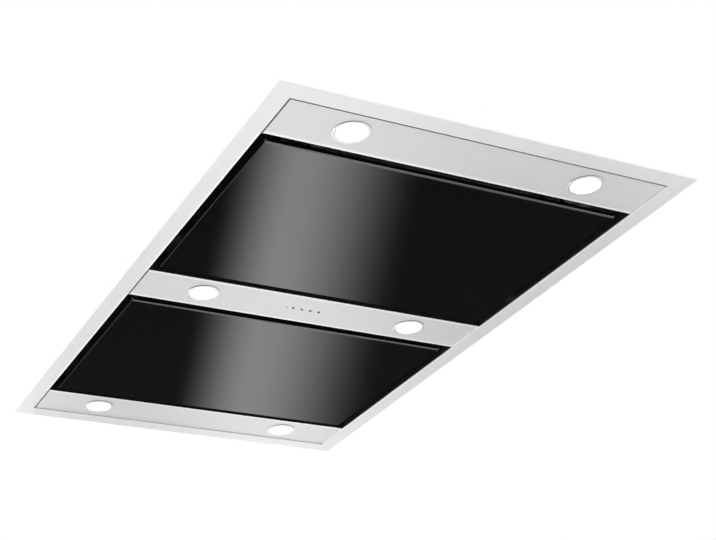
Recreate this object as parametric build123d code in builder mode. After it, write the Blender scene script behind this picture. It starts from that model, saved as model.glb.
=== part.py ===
from build123d import *
import os

os.makedirs("parts", exist_ok=True)

# Ceiling range hood with two hinged glass suction panels. Millimetres.
# Origin: centre of the border's underside. +Y runs from front to rear, +Z up into the ceiling.

# ---------------------------------------------------------------- driving dimensions

# The visible face
overall_length = 1200.0  # front edge to rear edge of the border, along Y
overall_width = 700.0  # along X
flange_width = 31.0  # flat border around the window
strip_width = 92.0  # each lamp strip and the control strip, along Y
suction_gap = 16.0  # open slot all round each glass panel
border_sheet = 1.5
border_edge_round = 0.7
upstand_height = 22.0  # the border's inner fold, from its underside
seal_thickness = 3.0
seal_width = 8.0
seal_inset = 3.0  # border's edge to the seal

# Casing
casing_height = 320.0  # border's underside to the top of the roof
casing_sheet = 1.2
casing_foot = 12.0  # outward fold that stands on the border
corner_tab = 16.0
roof_lip = 14.0
roof_bead_height = 2.0
roof_bead_width = 14.0
roof_bead_length = 210.0
roof_bead_inset_x = 171.7  # casing's side to the outer beads
roof_bead_y = 314.0
roof_bead_count = 3
roof_bead_slope = 30.0

# Hanging brackets
hanger_sheet = 3.0
hanger_width = 40.0
hanger_height = 45.0
hanger_below_roof = 40.0
hanger_hole_r = 4.5
hanger_hole_out = 15.0  # casing side to the hole's axis
hanger_ear = 27.0
hanger_spacing_y = 900.0

# Lamp strips and control strip, folded pans
strip_recess = 2.0  # the strips' faces stand this far above the border's underside
strip_sheet = 1.2
strip_depth = 36.0
strip_seam = 0.6  # gap between a strip and the border's upstand

# Strip screws
strip_screw_r = 2.0
strip_screw_head_r = 3.8
strip_screw_head = 2.5
strip_screw_length = 8.0
strip_screw_pitch = 50.0
strip_screw_z = 12.0
screw_clearance = 0.15

# Glass panels and their carriers
glass_thickness = 5.0
glass_recess = 1.0  # the glass stands this far above the border's underside
glass_corner = 2.0
glass_bevel = 0.9
carrier_inset = 14.0  # glass edge to the carrier's rim
carrier_sheet = 1.2
carrier_depth = 12.0

# Hinges and catches of the glass panels
hinge_x = 220.0
hinge_inset = 6.0  # glass edge to the hinge axis
hinge_above_glass = 10.0
hinge_knuckle_r = 5.0
hinge_knuckle_length = 14.0
hinge_pin_r = 2.5
hinge_pin_head_r = 3.6
hinge_pin_head = 1.0
hinge_ear_gap = 0.5
hinge_ear_sheet = 3.0
hinge_base_sheet = 2.0
hinge_base_edge = 7.0
running_clearance = 0.05
seat_clearance = 0.02
catch_x = 200.0
catch_width = 34.0
catch_height = 11.0
strike_width = 30.0
strike_sheet = 1.5
strike_reach = 12.0
catch_chamfer = 1.0
touch_gap = 0.3  # between two pieces that rest on each other

# Filters
deck_sheet = 1.2
deck_lip = 12.0
filter_side_margin = 61.0  # window's side to the filter
filter_end_margin = 52.5  # strip to the filter, along Y
filter_depth = 12.0
filter_rim = 18.0
filter_overlap = 8.0  # filter frame over the deck's cut-out, each side
mesh_groove = 5.0
mesh_thickness = 7.0
latch_width = 40.0
latch_sheet = 3.0
latch_length = 34.0
latch_tongue = 8.0
latch_lip = 6.0
latch_guide = 3.0
guide_sheet = 1.2
hook_width = 24.0
hook_x = 150.0
hook_sheet = 1.5
hook_foot = 6.5
hook_gap = 0.5
keeper_reach = 14.5  # filter edge to the keeper's upright
keeper_foot_gap = 2.5  # filter edge to the keeper's foot

# Lamps
lamp_x = 200.0
lamp_hole_r = 25.0
lamp_bezel_r = 28.0
lamp_bezel_z = 0.6
lamp_lens_r = 23.2
lamp_lens_z = 1.2
lamp_lens_thickness = 2.0
lamp_bezel_lip_r = 22.2
bezel_chamfer = 0.8
lamp_spigot_top = 8.0
lamp_body_r = 23.2
lamp_body_height = 28.0
lamp_core_r = 15.0
lamp_fin_sheet = 2.0
lamp_fin_gap = 3.0
lamp_fins = 4
lamp_clip_width = 8.0
lamp_clip_sheet = 0.8
lamp_clip_reach = 15.0
lamp_clip_z = 20.0

# Controls
button_count = 4
button_pitch = 16.5
first_button_x = -31.0
indicator_x = -42.0
button_r = 2.5
button_guide_gap = 0.2
button_proud = 0.6
button_edge_round = 0.3
button_flange_r = 4.0
button_flange = 1.2
button_stem_r = 1.1
button_stem_in = 0.6  # the stem's end, inside its key switch
button_stem_gap = 0.2
button_travel = 1.0
switch_size = 6.0
switch_height = 3.4
board_above_strip = 9.6
board_sheet = 1.6
board_length = 84.0
board_width = 40.0
tray_sheet = 2.0
indicator_r = 1.2
indicator_flange_r = 2.2
indicator_flange = 1.0

# Fan: double-inlet scroll, axis along Y
impeller_r = 70.0
impeller_width = 96.0
impeller_plate = 1.5
impeller_ring = 5.0
hub_r = 10.0
hub_length = 12.0
blade_count = 32
blade_sheet = 1.0
blade_arc_r = 8.5
blade_arc_in = 6.0  # impeller's rim to the arc's centre
blade_arc_up = 7.0
blade_arc_deg = 75.0
blade_arc_start = -125.0
fan_axis_z = 185.0
scroll_width = 110.0
scroll_sheet = 1.2
scroll_step = 12.0
tongue_gap = 7.0
tongue_r = 11.0
exit_above_tongue = 7.0
inlet_r = 60.0
strap_sheet = 2.0
strap_width = 24.0
strap_x = -66.0  # from the fan's axis
strap_overlap = 70.0
strap_foot = 24.0

# Motor
motor_r = 44.0
motor_length = 70.0
motor_sheet = 2.0
motor_edge_round = 1.5
motor_from_centre = 8.0  # fan's centre plate to the motor's inner end
bearing_r = 11.0
bearing_width = 7.0
bearing_boss = 2.0
shaft_r = 4.0
shaft_hole_r = 4.6
shaft_beyond_hub = 2.0
stator_r_in = 30.0
stator_length = 38.0
rotor_air_gap = 0.6
arm_count = 3
arm_width = 14.0
arm_sheet = 2.0
arm_reach = 68.0
arm_foot = 11.0
arm_start_r = 14.0
short_screw_r = 1.5
short_screw_head_r = 3.2
short_screw_head = 2.2
short_screw_length = 4.0

# Outlet
duct_r = 75.0
collar_sheet = 1.2
collar_height = 60.0
collar_flange_r = 94.0
collar_flange = 1.5
collar_screw_pcd_r = 85.0
collar_screw_count = 4
collar_screw_turn = 45.0  # first screw, from the X axis
flap_above_roof = 28.0
flap_r = 72.0
flap_sheet = 1.0
flap_pin_r = 2.0
flap_knuckle_r = 3.5
flap_knuckle_length = 18.0
flap_knuckle_pitch = 46.0
flap_edge_gap = 0.6
flap_seat = 4.5
flap_seat_sheet = 1.0
transition_corner = 6.0

# Electrics
box_inset_x = 121.7  # casing side to a box's middle
box_inset_y = 241.7  # casing end to a box's middle
terminal_length = 100.0
terminal_width = 70.0
terminal_height = 34.0
terminal_wall = 2.0
terminal_lid = 2.5
terminal_lid_round = 1.0
terminal_corner = 3.0
gland_bore_r = 5.0
gland_thread_r = 9.9
gland_thread = 10.0
gland_flats_r = 12.0
gland_nut = 8.0
gland_dome_r = 10.5
gland_dome = 12.0
gland_dome_round = 3.0
box_corner = 2.0
box_chamfer = 1.0
driver_length = 160.0
driver_width = 42.0
driver_height = 30.0
control_box_length = 150.0
control_box_width = 110.0
control_box_height = 42.0

# ---------------------------------------------------------------- places worked out from them

window_length = overall_length - 2 * flange_width
window_width = overall_width - 2 * flange_width
bay_length = (window_length - 3 * strip_width) / 2
bay_y = (strip_width + bay_length) / 2  # centre of a glass bay, from the hood's centre
end_strip_y = (window_length - strip_width) / 2
strip_ys = (-end_strip_y, 0.0, end_strip_y)
strip_screw_ys = [y + half * strip_screw_pitch / 2 for y in strip_ys for half in (-1, 1)]

upstand_x = window_width / 2 + border_sheet  # outer face of the border's fold
upstand_y = window_length / 2 + border_sheet
casing_x = upstand_x + casing_sheet  # outer face of a casing side
casing_y = upstand_y + casing_sheet
roof_z = casing_height - casing_sheet  # the roof's underside

glass_width = window_width - 2 * suction_gap
glass_length = bay_length - 2 * suction_gap
glass_top = glass_recess + glass_thickness
carrier_top = glass_top + carrier_depth
deck_z = strip_recess + strip_depth
strip_floor = strip_recess + strip_sheet

hinge_y = bay_y + glass_length / 2 - hinge_inset  # hinge axis, from the hood's centre
hinge_z = glass_top + hinge_above_glass
lug_bottom = hinge_z - hinge_knuckle_r
rim_outer_y = bay_y + glass_length / 2 - carrier_inset
rim_inner_y = bay_y - glass_length / 2 + carrier_inset

filter_width = window_width - 2 * filter_side_margin
filter_length = bay_length - 2 * filter_end_margin
filter_z = deck_z - touch_gap - filter_depth
filter_outer_y = bay_y + filter_length / 2
filter_inner_y = bay_y - filter_length / 2
latch_z = filter_z - touch_gap - latch_sheet
guide_drop = latch_sheet + 2 * touch_gap + guide_sheet  # filter frame's underside to its guides

top_gap = impeller_r + tongue_gap  # fan axis to the scroll wall at the tongue
scroll_r = top_gap + scroll_step / 2  # first of the scroll's three arcs
exit_left = tongue_r - scroll_step / 2  # from the fan's axis
exit_right = scroll_r + 2 * scroll_step + scroll_step / 2
exit_width = exit_right - exit_left
fan_x = -(exit_left + exit_right) / 2  # puts the outlet on the hood's centre
exit_z = fan_axis_z + top_gap + tongue_r + exit_above_tongue
scroll_side_y = scroll_width / 2 + scroll_sheet
motor_end_y = motor_from_centre + motor_length
duct_bore_r = duct_r - collar_sheet
flap_z = casing_height + flap_above_roof

button_xs = [first_button_x + n * button_pitch for n in range(button_count)]
button_face_z = strip_recess - button_proud
button_flange_top = strip_floor + button_flange
board_z = strip_floor + board_above_strip
switch_z = board_z - switch_height
board_x = (indicator_x + button_xs[-1]) / 2  # middle of the control board
strap_bottom = fan_axis_z + top_gap - strap_overlap
roof_bead_pitch = casing_x - roof_bead_inset_x
box_x = casing_x - box_inset_x
box_y = casing_y - box_inset_y
gland_wall = Plane(
    (box_x, -box_y - terminal_length / 2, casing_height + terminal_height / 2), z_dir=(0, -1, 0)
)

sides = (("left", -1), ("right", 1))
ends = (("front", -1), ("rear", 1))

# ---------------------------------------------------------------- border frame and seal

with BuildPart() as border_frame:
    with BuildSketch():
        Rectangle(overall_width, overall_length)
    extrude(amount=border_sheet)
    fillet(border_frame.edges().group_by(Axis.Z)[0], border_edge_round)
    with BuildSketch():
        Rectangle(2 * upstand_x, 2 * upstand_y)
    extrude(amount=upstand_height)
    with BuildSketch():
        Rectangle(window_width, window_length)
    extrude(amount=upstand_height, mode=Mode.SUBTRACT)
    with BuildSketch(Plane.YZ):
        with Locations(*[(y, strip_screw_z) for y in strip_screw_ys]):
            Circle(strip_screw_r + screw_clearance)
    extrude(amount=overall_width / 2, both=True, mode=Mode.SUBTRACT)
border_frame.part.label = "border_frame"
export_step(border_frame.part, "parts/border_frame.step")

with BuildPart() as ceiling_seal:
    with BuildSketch(Plane.XY.offset(border_sheet)):
        Rectangle(overall_width - 2 * seal_inset, overall_length - 2 * seal_inset)
        Rectangle(
            overall_width - 2 * (seal_inset + seal_width),
            overall_length - 2 * (seal_inset + seal_width),
            mode=Mode.SUBTRACT,
        )
    extrude(amount=seal_thickness)
ceiling_seal.part.label = "ceiling_seal"
export_step(ceiling_seal.part, "parts/ceiling_seal.step")

# ---------------------------------------------------------------- casing

wall_height = roof_z - border_sheet
wall_z = border_sheet + wall_height / 2

for side, sx in sides:
    with BuildPart() as casing_side:
        with BuildSketch(Plane.XZ):
            with Locations((sx * (casing_x - casing_sheet / 2), wall_z)):
                Rectangle(casing_sheet, wall_height)
            with Locations((sx * (casing_x + casing_foot / 2), border_sheet + casing_sheet / 2)):
                Rectangle(casing_foot, casing_sheet)
        extrude(amount=casing_y, both=True)
        with BuildSketch(Plane.YZ):
            with Locations(*[(y, strip_screw_z) for y in strip_screw_ys]):
                Circle(strip_screw_r + screw_clearance)
        extrude(amount=overall_width / 2, both=True, mode=Mode.SUBTRACT)
    casing_side.part.label = f"casing_side_{side}"
    export_step(casing_side.part, f"parts/casing_side_{side}.step")

for end, sy in ends:
    with BuildPart() as casing_end:
        with BuildSketch(Plane.YZ):
            with Locations((sy * (casing_y - casing_sheet / 2), wall_z)):
                Rectangle(casing_sheet, wall_height)
            with Locations((sy * (casing_y + casing_foot / 2), border_sheet + casing_sheet / 2)):
                Rectangle(casing_foot, casing_sheet)
        extrude(amount=upstand_x, both=True)
        with BuildSketch(Plane.XY.offset(upstand_height + touch_gap)):
            with Locations(*[(sx * (upstand_x - casing_sheet / 2), sy * (upstand_y - corner_tab / 2))
                             for _, sx in sides]):
                Rectangle(casing_sheet, corner_tab)
        extrude(amount=roof_z - upstand_height - 2 * touch_gap)
    casing_end.part.label = f"casing_end_{end}"
    export_step(casing_end.part, f"parts/casing_end_{end}.step")

with BuildPart() as casing_roof:
    with BuildSketch(Plane.XY.offset(casing_height - roof_lip)):
        Rectangle(2 * (casing_x + casing_sheet), 2 * (casing_y + casing_sheet))
    extrude(amount=roof_lip)
    fillet(casing_roof.edges().group_by(Axis.Z)[-1], casing_sheet / 2)
    with BuildSketch(Plane.XY.offset(casing_height - roof_lip)):
        Rectangle(2 * casing_x, 2 * casing_y)
    extrude(amount=roof_lip - casing_sheet, mode=Mode.SUBTRACT)
    with BuildSketch(Plane.XY.offset(casing_height)):
        with GridLocations(roof_bead_pitch, 2 * roof_bead_y, roof_bead_count, 2):
            SlotOverall(roof_bead_length, roof_bead_width, rotation=90)
    extrude(amount=roof_bead_height, taper=roof_bead_slope)
    with BuildSketch(Plane.XY.offset(roof_z)):
        Circle(duct_bore_r)
        with PolarLocations(collar_screw_pcd_r, collar_screw_count, start_angle=collar_screw_turn):
            Circle(short_screw_r + screw_clearance)
    extrude(amount=casing_sheet, mode=Mode.SUBTRACT)
casing_roof.part.label = "casing_roof"
export_step(casing_roof.part, "parts/casing_roof.step")

# Four L brackets on the casing sides. A threaded rod from the ceiling slab goes through each ear.
hanger_top = casing_height - hanger_below_roof
with BuildPart() as hanging_brackets:
    for y in (-hanger_spacing_y / 2, hanger_spacing_y / 2):
        for _, sx in sides:
            with BuildSketch(Plane.XZ.offset(-y)):
                with Locations((sx * (casing_x + hanger_sheet / 2), hanger_top - hanger_height / 2)):
                    Rectangle(hanger_sheet, hanger_height)
                with Locations((sx * (casing_x + hanger_ear / 2), hanger_top - hanger_sheet / 2)):
                    Rectangle(hanger_ear, hanger_sheet)
            extrude(amount=hanger_width / 2, both=True)
    with BuildSketch(Plane.XY.offset(hanger_top - hanger_sheet)):
        with GridLocations(2 * (casing_x + hanger_hole_out), hanger_spacing_y, 2, 2):
            Circle(hanger_hole_r)
    extrude(amount=hanger_sheet, mode=Mode.SUBTRACT)
hanging_brackets.part.label = "hanging_brackets"
export_step(hanging_brackets.part, "parts/hanging_brackets.step")

# ---------------------------------------------------------------- strips

strips = (("light_strip_front", -1), ("control_strip", 0), ("light_strip_rear", 1))
for strip, sy in strips:
    # an end strip gives up the seam on its outer side, where it meets the border
    length = strip_width - abs(sy) * strip_seam
    centre_y = sy * (end_strip_y - strip_seam / 2)
    with BuildPart() as strip_pan:
        with BuildSketch(Plane.XY.offset(strip_recess)):
            with Locations((0, centre_y)):
                Rectangle(window_width - 2 * strip_seam, length)
        extrude(amount=strip_depth)
        with BuildSketch(Plane.XY.offset(strip_floor)):
            with Locations((0, centre_y)):
                Rectangle(window_width - 2 * (strip_seam + strip_sheet), length - 2 * strip_sheet)
        extrude(amount=strip_depth, mode=Mode.SUBTRACT)
        with BuildSketch(Plane.XY.offset(strip_recess)):
            with Locations((-lamp_x, sy * end_strip_y), (lamp_x, sy * end_strip_y)):
                Circle(lamp_hole_r)
            if sy == 0:
                with Locations(*[(x, 0) for x in button_xs]):
                    Circle(button_r + button_guide_gap)
                with Locations((indicator_x, 0)):
                    Circle(indicator_r + running_clearance)
        extrude(amount=strip_sheet, mode=Mode.SUBTRACT)
        with BuildSketch(Plane.YZ):
            with Locations(*[(sy * end_strip_y + half * strip_screw_pitch / 2, strip_screw_z)
                             for half in (-1, 1)]):
                Circle(strip_screw_r + screw_clearance)
        extrude(amount=window_width / 2, both=True, mode=Mode.SUBTRACT)
    strip_pan.part.label = strip
    export_step(strip_pan.part, f"parts/{strip}.step")

with BuildPart() as strip_screws:
    for _, sx in sides:
        head_x = window_width / 2 - strip_seam - strip_sheet  # inner face of a pan's end wall
        for y in strip_screw_ys:
            with BuildSketch(Plane((sx * head_x, y, strip_screw_z), x_dir=(0, 1, 0), z_dir=(sx, 0, 0))):
                Circle(strip_screw_r)
            extrude(amount=strip_screw_length)
            with BuildSketch(Plane((sx * head_x, y, strip_screw_z), x_dir=(0, 1, 0), z_dir=(-sx, 0, 0))):
                Circle(strip_screw_head_r)
            extrude(amount=strip_screw_head)
strip_screws.part.label = "strip_screws"
export_step(strip_screws.part, "parts/strip_screws.step")

# ---------------------------------------------------------------- glass panels, hinges and catches

for end, sy in ends:
    with BuildPart() as glass_panel:
        with BuildSketch(Plane.XY.offset(glass_recess)):
            with Locations((0, sy * bay_y)):
                RectangleRounded(glass_width, glass_length, glass_corner)
        extrude(amount=glass_thickness)
        chamfer(glass_panel.edges().group_by(Axis.Z)[0], glass_bevel)
    glass_panel.part.label = f"glass_panel_{end}"
    export_step(glass_panel.part, f"parts/glass_panel_{end}.step")

    with BuildPart() as panel_carrier:
        carrier_width = glass_width - 2 * carrier_inset
        carrier_length = glass_length - 2 * carrier_inset
        with BuildSketch(Plane.XY.offset(glass_top)):
            with Locations((0, sy * bay_y)):
                Rectangle(carrier_width, carrier_length)
        extrude(amount=carrier_depth)
        with BuildSketch(Plane.XY.offset(glass_top + carrier_sheet)):
            with Locations((0, sy * bay_y)):
                Rectangle(carrier_width - 2 * carrier_sheet, carrier_length - 2 * carrier_sheet)
        extrude(amount=carrier_depth, mode=Mode.SUBTRACT)
        for x in (-hinge_x, hinge_x):
            with BuildSketch(Plane.YZ.offset(x)):
                with Locations((sy * hinge_y, hinge_z)):
                    Circle(hinge_knuckle_r)
                with Locations((sy * (hinge_y + rim_outer_y) / 2, (lug_bottom + carrier_top) / 2)):
                    Rectangle(hinge_y - rim_outer_y, carrier_top - lug_bottom)
                with Locations((sy * hinge_y, hinge_z)):
                    Circle(hinge_pin_r + running_clearance, mode=Mode.SUBTRACT)
            extrude(amount=hinge_knuckle_length / 2, both=True)
        for x in (-catch_x, catch_x):
            with BuildSketch(Plane.YZ.offset(x)):
                with Locations((sy * (rim_inner_y - strike_sheet / 2), carrier_top - carrier_depth / 2)):
                    Rectangle(strike_sheet, carrier_depth)
                with Locations((sy * (rim_inner_y - strike_reach / 2), carrier_top - strike_sheet / 2)):
                    Rectangle(strike_reach, strike_sheet)
            extrude(amount=strike_width / 2, both=True)
    panel_carrier.part.label = f"panel_carrier_{end}"
    export_step(panel_carrier.part, f"parts/panel_carrier_{end}.step")

# The magnets sit on the control strip's walls, just above the strike plates.
with BuildPart() as catch_magnets:
    magnet_length = rim_inner_y - strip_width / 2
    for _, sy in ends:
        with BuildSketch(Plane.XY.offset(carrier_top + touch_gap)):
            with Locations(*[(x, sy * (strip_width + magnet_length) / 2) for x in (-catch_x, catch_x)]):
                Rectangle(catch_width, magnet_length)
        extrude(amount=catch_height)
    chamfer(catch_magnets.edges().filter_by(Axis.Z), catch_chamfer)
catch_magnets.part.label = "catch_magnets"
export_step(catch_magnets.part, "parts/catch_magnets.step")

# Forks under the filter decks hold the hinge pins. The glass swings down between fork and strip.
ear_x = hinge_knuckle_length / 2 + hinge_ear_gap + hinge_ear_sheet / 2  # knuckle's middle to an ear's
base_length = 2 * ear_x + hinge_ear_sheet + 2 * hinge_base_edge
hinge_spots = [(x, sy) for _, sy in ends for x in (-hinge_x, hinge_x)]
with BuildPart() as hinge_brackets:
    for x, sy in hinge_spots:
        with BuildSketch(Plane.XY.offset(deck_z)):
            with Locations((x, sy * hinge_y)):
                Rectangle(base_length, 2 * hinge_knuckle_r + hinge_base_edge)
        extrude(amount=-hinge_base_sheet)
        for ear in (x - ear_x, x + ear_x):
            with BuildSketch(Plane.YZ.offset(ear)):
                with Locations((sy * hinge_y, hinge_z)):
                    Circle(hinge_knuckle_r)
                with Locations((sy * hinge_y, (hinge_z + deck_z - hinge_base_sheet) / 2)):
                    Rectangle(2 * hinge_knuckle_r, deck_z - hinge_base_sheet - hinge_z)
                with Locations((sy * hinge_y, hinge_z)):
                    Circle(hinge_pin_r + seat_clearance, mode=Mode.SUBTRACT)
            extrude(amount=hinge_ear_sheet / 2, both=True)
hinge_brackets.part.label = "hinge_brackets"
export_step(hinge_brackets.part, "parts/hinge_brackets.step")

with BuildPart() as hinge_pins:
    pin_half = ear_x + hinge_ear_sheet / 2
    for x, sy in hinge_spots:
        with BuildSketch(Plane.YZ.offset(x)):
            with Locations((sy * hinge_y, hinge_z)):
                Circle(hinge_pin_r)
        extrude(amount=pin_half, both=True)
        for head in (x - pin_half - hinge_pin_head, x + pin_half):
            with BuildSketch(Plane.YZ.offset(head)):
                with Locations((sy * hinge_y, hinge_z)):
                    Circle(hinge_pin_head_r)
            extrude(amount=hinge_pin_head)
hinge_pins.part.label = "hinge_pins"
export_step(hinge_pins.part, "parts/hinge_pins.step")

# ---------------------------------------------------------------- filters

deck_x = upstand_x - touch_gap
deck_length = bay_length + 2 * strip_sheet  # lies on the walls of the strips at both its ends

for end, sy in ends:
    with BuildPart() as filter_deck:
        with BuildSketch(Plane.XY.offset(deck_z)):
            with Locations((0, sy * bay_y)):
                Rectangle(2 * deck_x, deck_length)
        extrude(amount=deck_lip)
        with BuildSketch(Plane.XY.offset(deck_z + deck_sheet)):
            with Locations((0, sy * bay_y)):
                Rectangle(2 * (deck_x - deck_sheet), deck_length)
        extrude(amount=deck_lip, mode=Mode.SUBTRACT)
        with BuildSketch(Plane.XY.offset(deck_z)):
            with Locations((0, sy * bay_y)):
                Rectangle(filter_width - 2 * filter_overlap, filter_length - 2 * filter_overlap)
        extrude(amount=deck_sheet, mode=Mode.SUBTRACT)
    filter_deck.part.label = f"filter_deck_{end}"
    export_step(filter_deck.part, f"parts/filter_deck_{end}.step")

    groove_z = filter_z + (filter_depth - mesh_thickness) / 2
    with BuildPart() as filter_frame:
        with BuildSketch(Plane.XY.offset(filter_z)):
            with Locations((0, sy * bay_y)):
                Rectangle(filter_width, filter_length)
                Rectangle(filter_width - 2 * filter_rim, filter_length - 2 * filter_rim, mode=Mode.SUBTRACT)
        extrude(amount=filter_depth)
        with BuildSketch(Plane.XY.offset(groove_z)):
            with Locations((0, sy * bay_y)):
                Rectangle(filter_width - 2 * (filter_rim - mesh_groove),
                          filter_length - 2 * (filter_rim - mesh_groove))
        extrude(amount=mesh_thickness, mode=Mode.SUBTRACT)
        # two angle guides under the frame carry the latch
        guide_x = latch_width / 2 + touch_gap
        with BuildSketch(Plane.XZ.offset(-sy * (filter_inner_y + filter_rim / 2))):
            for _, sx in sides:
                with Locations((sx * (guide_x + latch_guide / 2), filter_z - guide_drop / 2)):
                    Rectangle(latch_guide, guide_drop)
                with Locations((sx * (guide_x - latch_guide / 2), filter_z - guide_drop + guide_sheet / 2)):
                    Rectangle(3 * latch_guide, guide_sheet)
        extrude(amount=filter_rim / 2, both=True)
    filter_frame.part.label = f"filter_frame_{end}"
    export_step(filter_frame.part, f"parts/filter_frame_{end}.step")

    # The latch's tongue rests on its keeper. It slides towards the filter's middle to let go.
    with BuildPart() as filter_latch:
        tip_y = filter_inner_y - latch_tongue
        with BuildSketch(Plane.YZ):
            with Locations((sy * (tip_y + latch_length / 2), latch_z + latch_sheet / 2)):
                Rectangle(latch_length, latch_sheet)
            with Locations((sy * (tip_y + latch_length - latch_sheet / 2), latch_z - latch_lip / 2)):
                Rectangle(latch_sheet, latch_lip)
        extrude(amount=latch_width / 2, both=True)
    filter_latch.part.label = f"filter_latch_{end}"
    export_step(filter_latch.part, f"parts/filter_latch_{end}.step")

with BuildPart() as filter_meshes:
    with BuildSketch(Plane.XY.offset(groove_z)):
        with Locations(*[(0, sy * bay_y) for _, sy in ends]):
            Rectangle(filter_width - 2 * (filter_rim - mesh_groove),
                      filter_length - 2 * (filter_rim - mesh_groove))
    extrude(amount=mesh_thickness)
filter_meshes.part.label = "filter_meshes"
export_step(filter_meshes.part, "parts/filter_meshes.step")

# Hooks under the deck carry the filter's outer edge, and keepers carry its latch.
with BuildPart() as filter_hooks:
    hook_bottom = filter_z - touch_gap - hook_sheet
    hook_y = filter_outer_y + hook_gap
    for x, sy in [(x, sy) for _, sy in ends for x in (-hook_x, hook_x)]:
        with BuildSketch(Plane.YZ.offset(x)):
            with Locations((sy * (hook_y + hook_sheet / 2), (hook_bottom + deck_z) / 2)):
                Rectangle(hook_sheet, deck_z - hook_bottom)
            with Locations((sy * (hook_y + hook_sheet - hook_foot / 2), hook_bottom + hook_sheet / 2)):
                Rectangle(hook_foot, hook_sheet)
        extrude(amount=hook_width / 2, both=True)
    keeper_bottom = latch_z - touch_gap - hook_sheet
    keeper_y = filter_inner_y - keeper_reach
    keeper_foot = keeper_reach - keeper_foot_gap
    for _, sy in ends:
        with BuildSketch(Plane.YZ):
            with Locations((sy * (keeper_y + hook_sheet / 2), (keeper_bottom + deck_z) / 2)):
                Rectangle(hook_sheet, deck_z - keeper_bottom)
            with Locations((sy * (keeper_y + keeper_foot / 2), keeper_bottom + hook_sheet / 2)):
                Rectangle(keeper_foot, hook_sheet)
        extrude(amount=latch_width / 2, both=True)
filter_hooks.part.label = "filter_hooks"
export_step(filter_hooks.part, "parts/filter_hooks.step")

# ---------------------------------------------------------------- lamps

lamp_spots = [(x, y) for y in strip_ys for x in (-lamp_x, lamp_x)]
spigot_r = lamp_hole_r - 2 * touch_gap  # a bezel's tube, through its hole in the strip

with BuildPart() as lamp_bezels:
    with BuildSketch(Plane.XY.offset(lamp_bezel_z)):
        with Locations(*lamp_spots):
            Circle(lamp_bezel_r)
    extrude(amount=strip_recess - lamp_bezel_z)
    chamfer(lamp_bezels.edges().group_by(Axis.Z)[0], bezel_chamfer)
    with BuildSketch(Plane.XY.offset(strip_recess)):
        with Locations(*lamp_spots):
            Circle(spigot_r)
    extrude(amount=lamp_spigot_top - strip_recess)
    with BuildSketch(Plane.XY.offset(lamp_lens_z)):
        with Locations(*lamp_spots):
            Circle(lamp_lens_r + touch_gap / 2)
    extrude(amount=lamp_spigot_top, mode=Mode.SUBTRACT)
    with BuildSketch(Plane.XY):
        with Locations(*lamp_spots):
            Circle(lamp_bezel_lip_r)
    extrude(amount=lamp_spigot_top, mode=Mode.SUBTRACT)
lamp_bezels.part.label = "lamp_bezels"
export_step(lamp_bezels.part, "parts/lamp_bezels.step")

with BuildPart() as lamp_lenses:
    with BuildSketch(Plane.XY.offset(lamp_lens_z)):
        with Locations(*lamp_spots):
            Circle(lamp_lens_r)
    extrude(amount=lamp_lens_thickness)
lamp_lenses.part.label = "lamp_lenses"
export_step(lamp_lenses.part, "parts/lamp_lenses.step")

with BuildPart() as lamp_bodies:
    body_z = lamp_lens_z + lamp_lens_thickness
    with BuildSketch(Plane.XY.offset(body_z)):
        with Locations(*lamp_spots):
            Circle(lamp_body_r)
    extrude(amount=lamp_body_height)
    for n in range(lamp_fins):
        groove_top = body_z + lamp_body_height - lamp_fin_sheet - n * (lamp_fin_sheet + lamp_fin_gap)
        with BuildSketch(Plane.XY.offset(groove_top)):
            with Locations(*lamp_spots):
                Circle(lamp_bezel_r)
                Circle(lamp_core_r, mode=Mode.SUBTRACT)
        extrude(amount=-lamp_fin_gap, mode=Mode.SUBTRACT)
lamp_bodies.part.label = "lamp_bodies"
export_step(lamp_bodies.part, "parts/lamp_bodies.step")

# Two bent leaf springs on each lamp press the strip against the bezel.
clip_foot_x = lamp_body_r + lamp_clip_reach
with BuildPart() as lamp_clips:
    for x, y in lamp_spots:
        for sx in (-1, 1):
            with BuildSketch(Plane.XZ.offset(-y)):
                with BuildLine():
                    Polyline(
                        (x + sx * lamp_body_r, lamp_clip_z),
                        (x + sx * clip_foot_x, strip_floor + lamp_clip_sheet),
                        (x + sx * clip_foot_x, strip_floor),
                        (x + sx * (clip_foot_x - lamp_clip_sheet), strip_floor),
                        (x + sx * lamp_body_r, lamp_clip_z - lamp_clip_sheet),
                        close=True,
                    )
                make_face()
            extrude(amount=lamp_clip_width / 2, both=True)
    with BuildSketch(Plane.XY):
        with Locations(*lamp_spots):
            Circle(spigot_r + touch_gap)
    extrude(amount=lamp_spigot_top + touch_gap, mode=Mode.SUBTRACT)
    with BuildSketch(Plane.XY):
        with Locations(*lamp_spots):
            Circle(lamp_body_r)
    extrude(amount=body_z + lamp_body_height, mode=Mode.SUBTRACT)
lamp_clips.part.label = "lamp_clips"
export_step(lamp_clips.part, "parts/lamp_clips.step")

# ---------------------------------------------------------------- controls

for n, x in enumerate(button_xs, start=1):
    with BuildPart() as button:
        with BuildSketch(Plane.XY.offset(button_face_z)):
            with Locations((x, 0)):
                Circle(button_r)
        extrude(amount=strip_floor - button_face_z)
        fillet(button.edges().group_by(Axis.Z)[0], button_edge_round)
        with BuildSketch(Plane.XY.offset(strip_floor)):
            with Locations((x, 0)):
                Circle(button_flange_r)
        extrude(amount=button_flange)
        with BuildSketch(Plane.XY.offset(button_flange_top)):
            with Locations((x, 0)):
                Circle(button_stem_r)
        extrude(amount=switch_z + button_stem_in - button_flange_top)
    button.part.label = f"button_{n}"
    export_step(button.part, f"parts/button_{n}.step")

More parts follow.
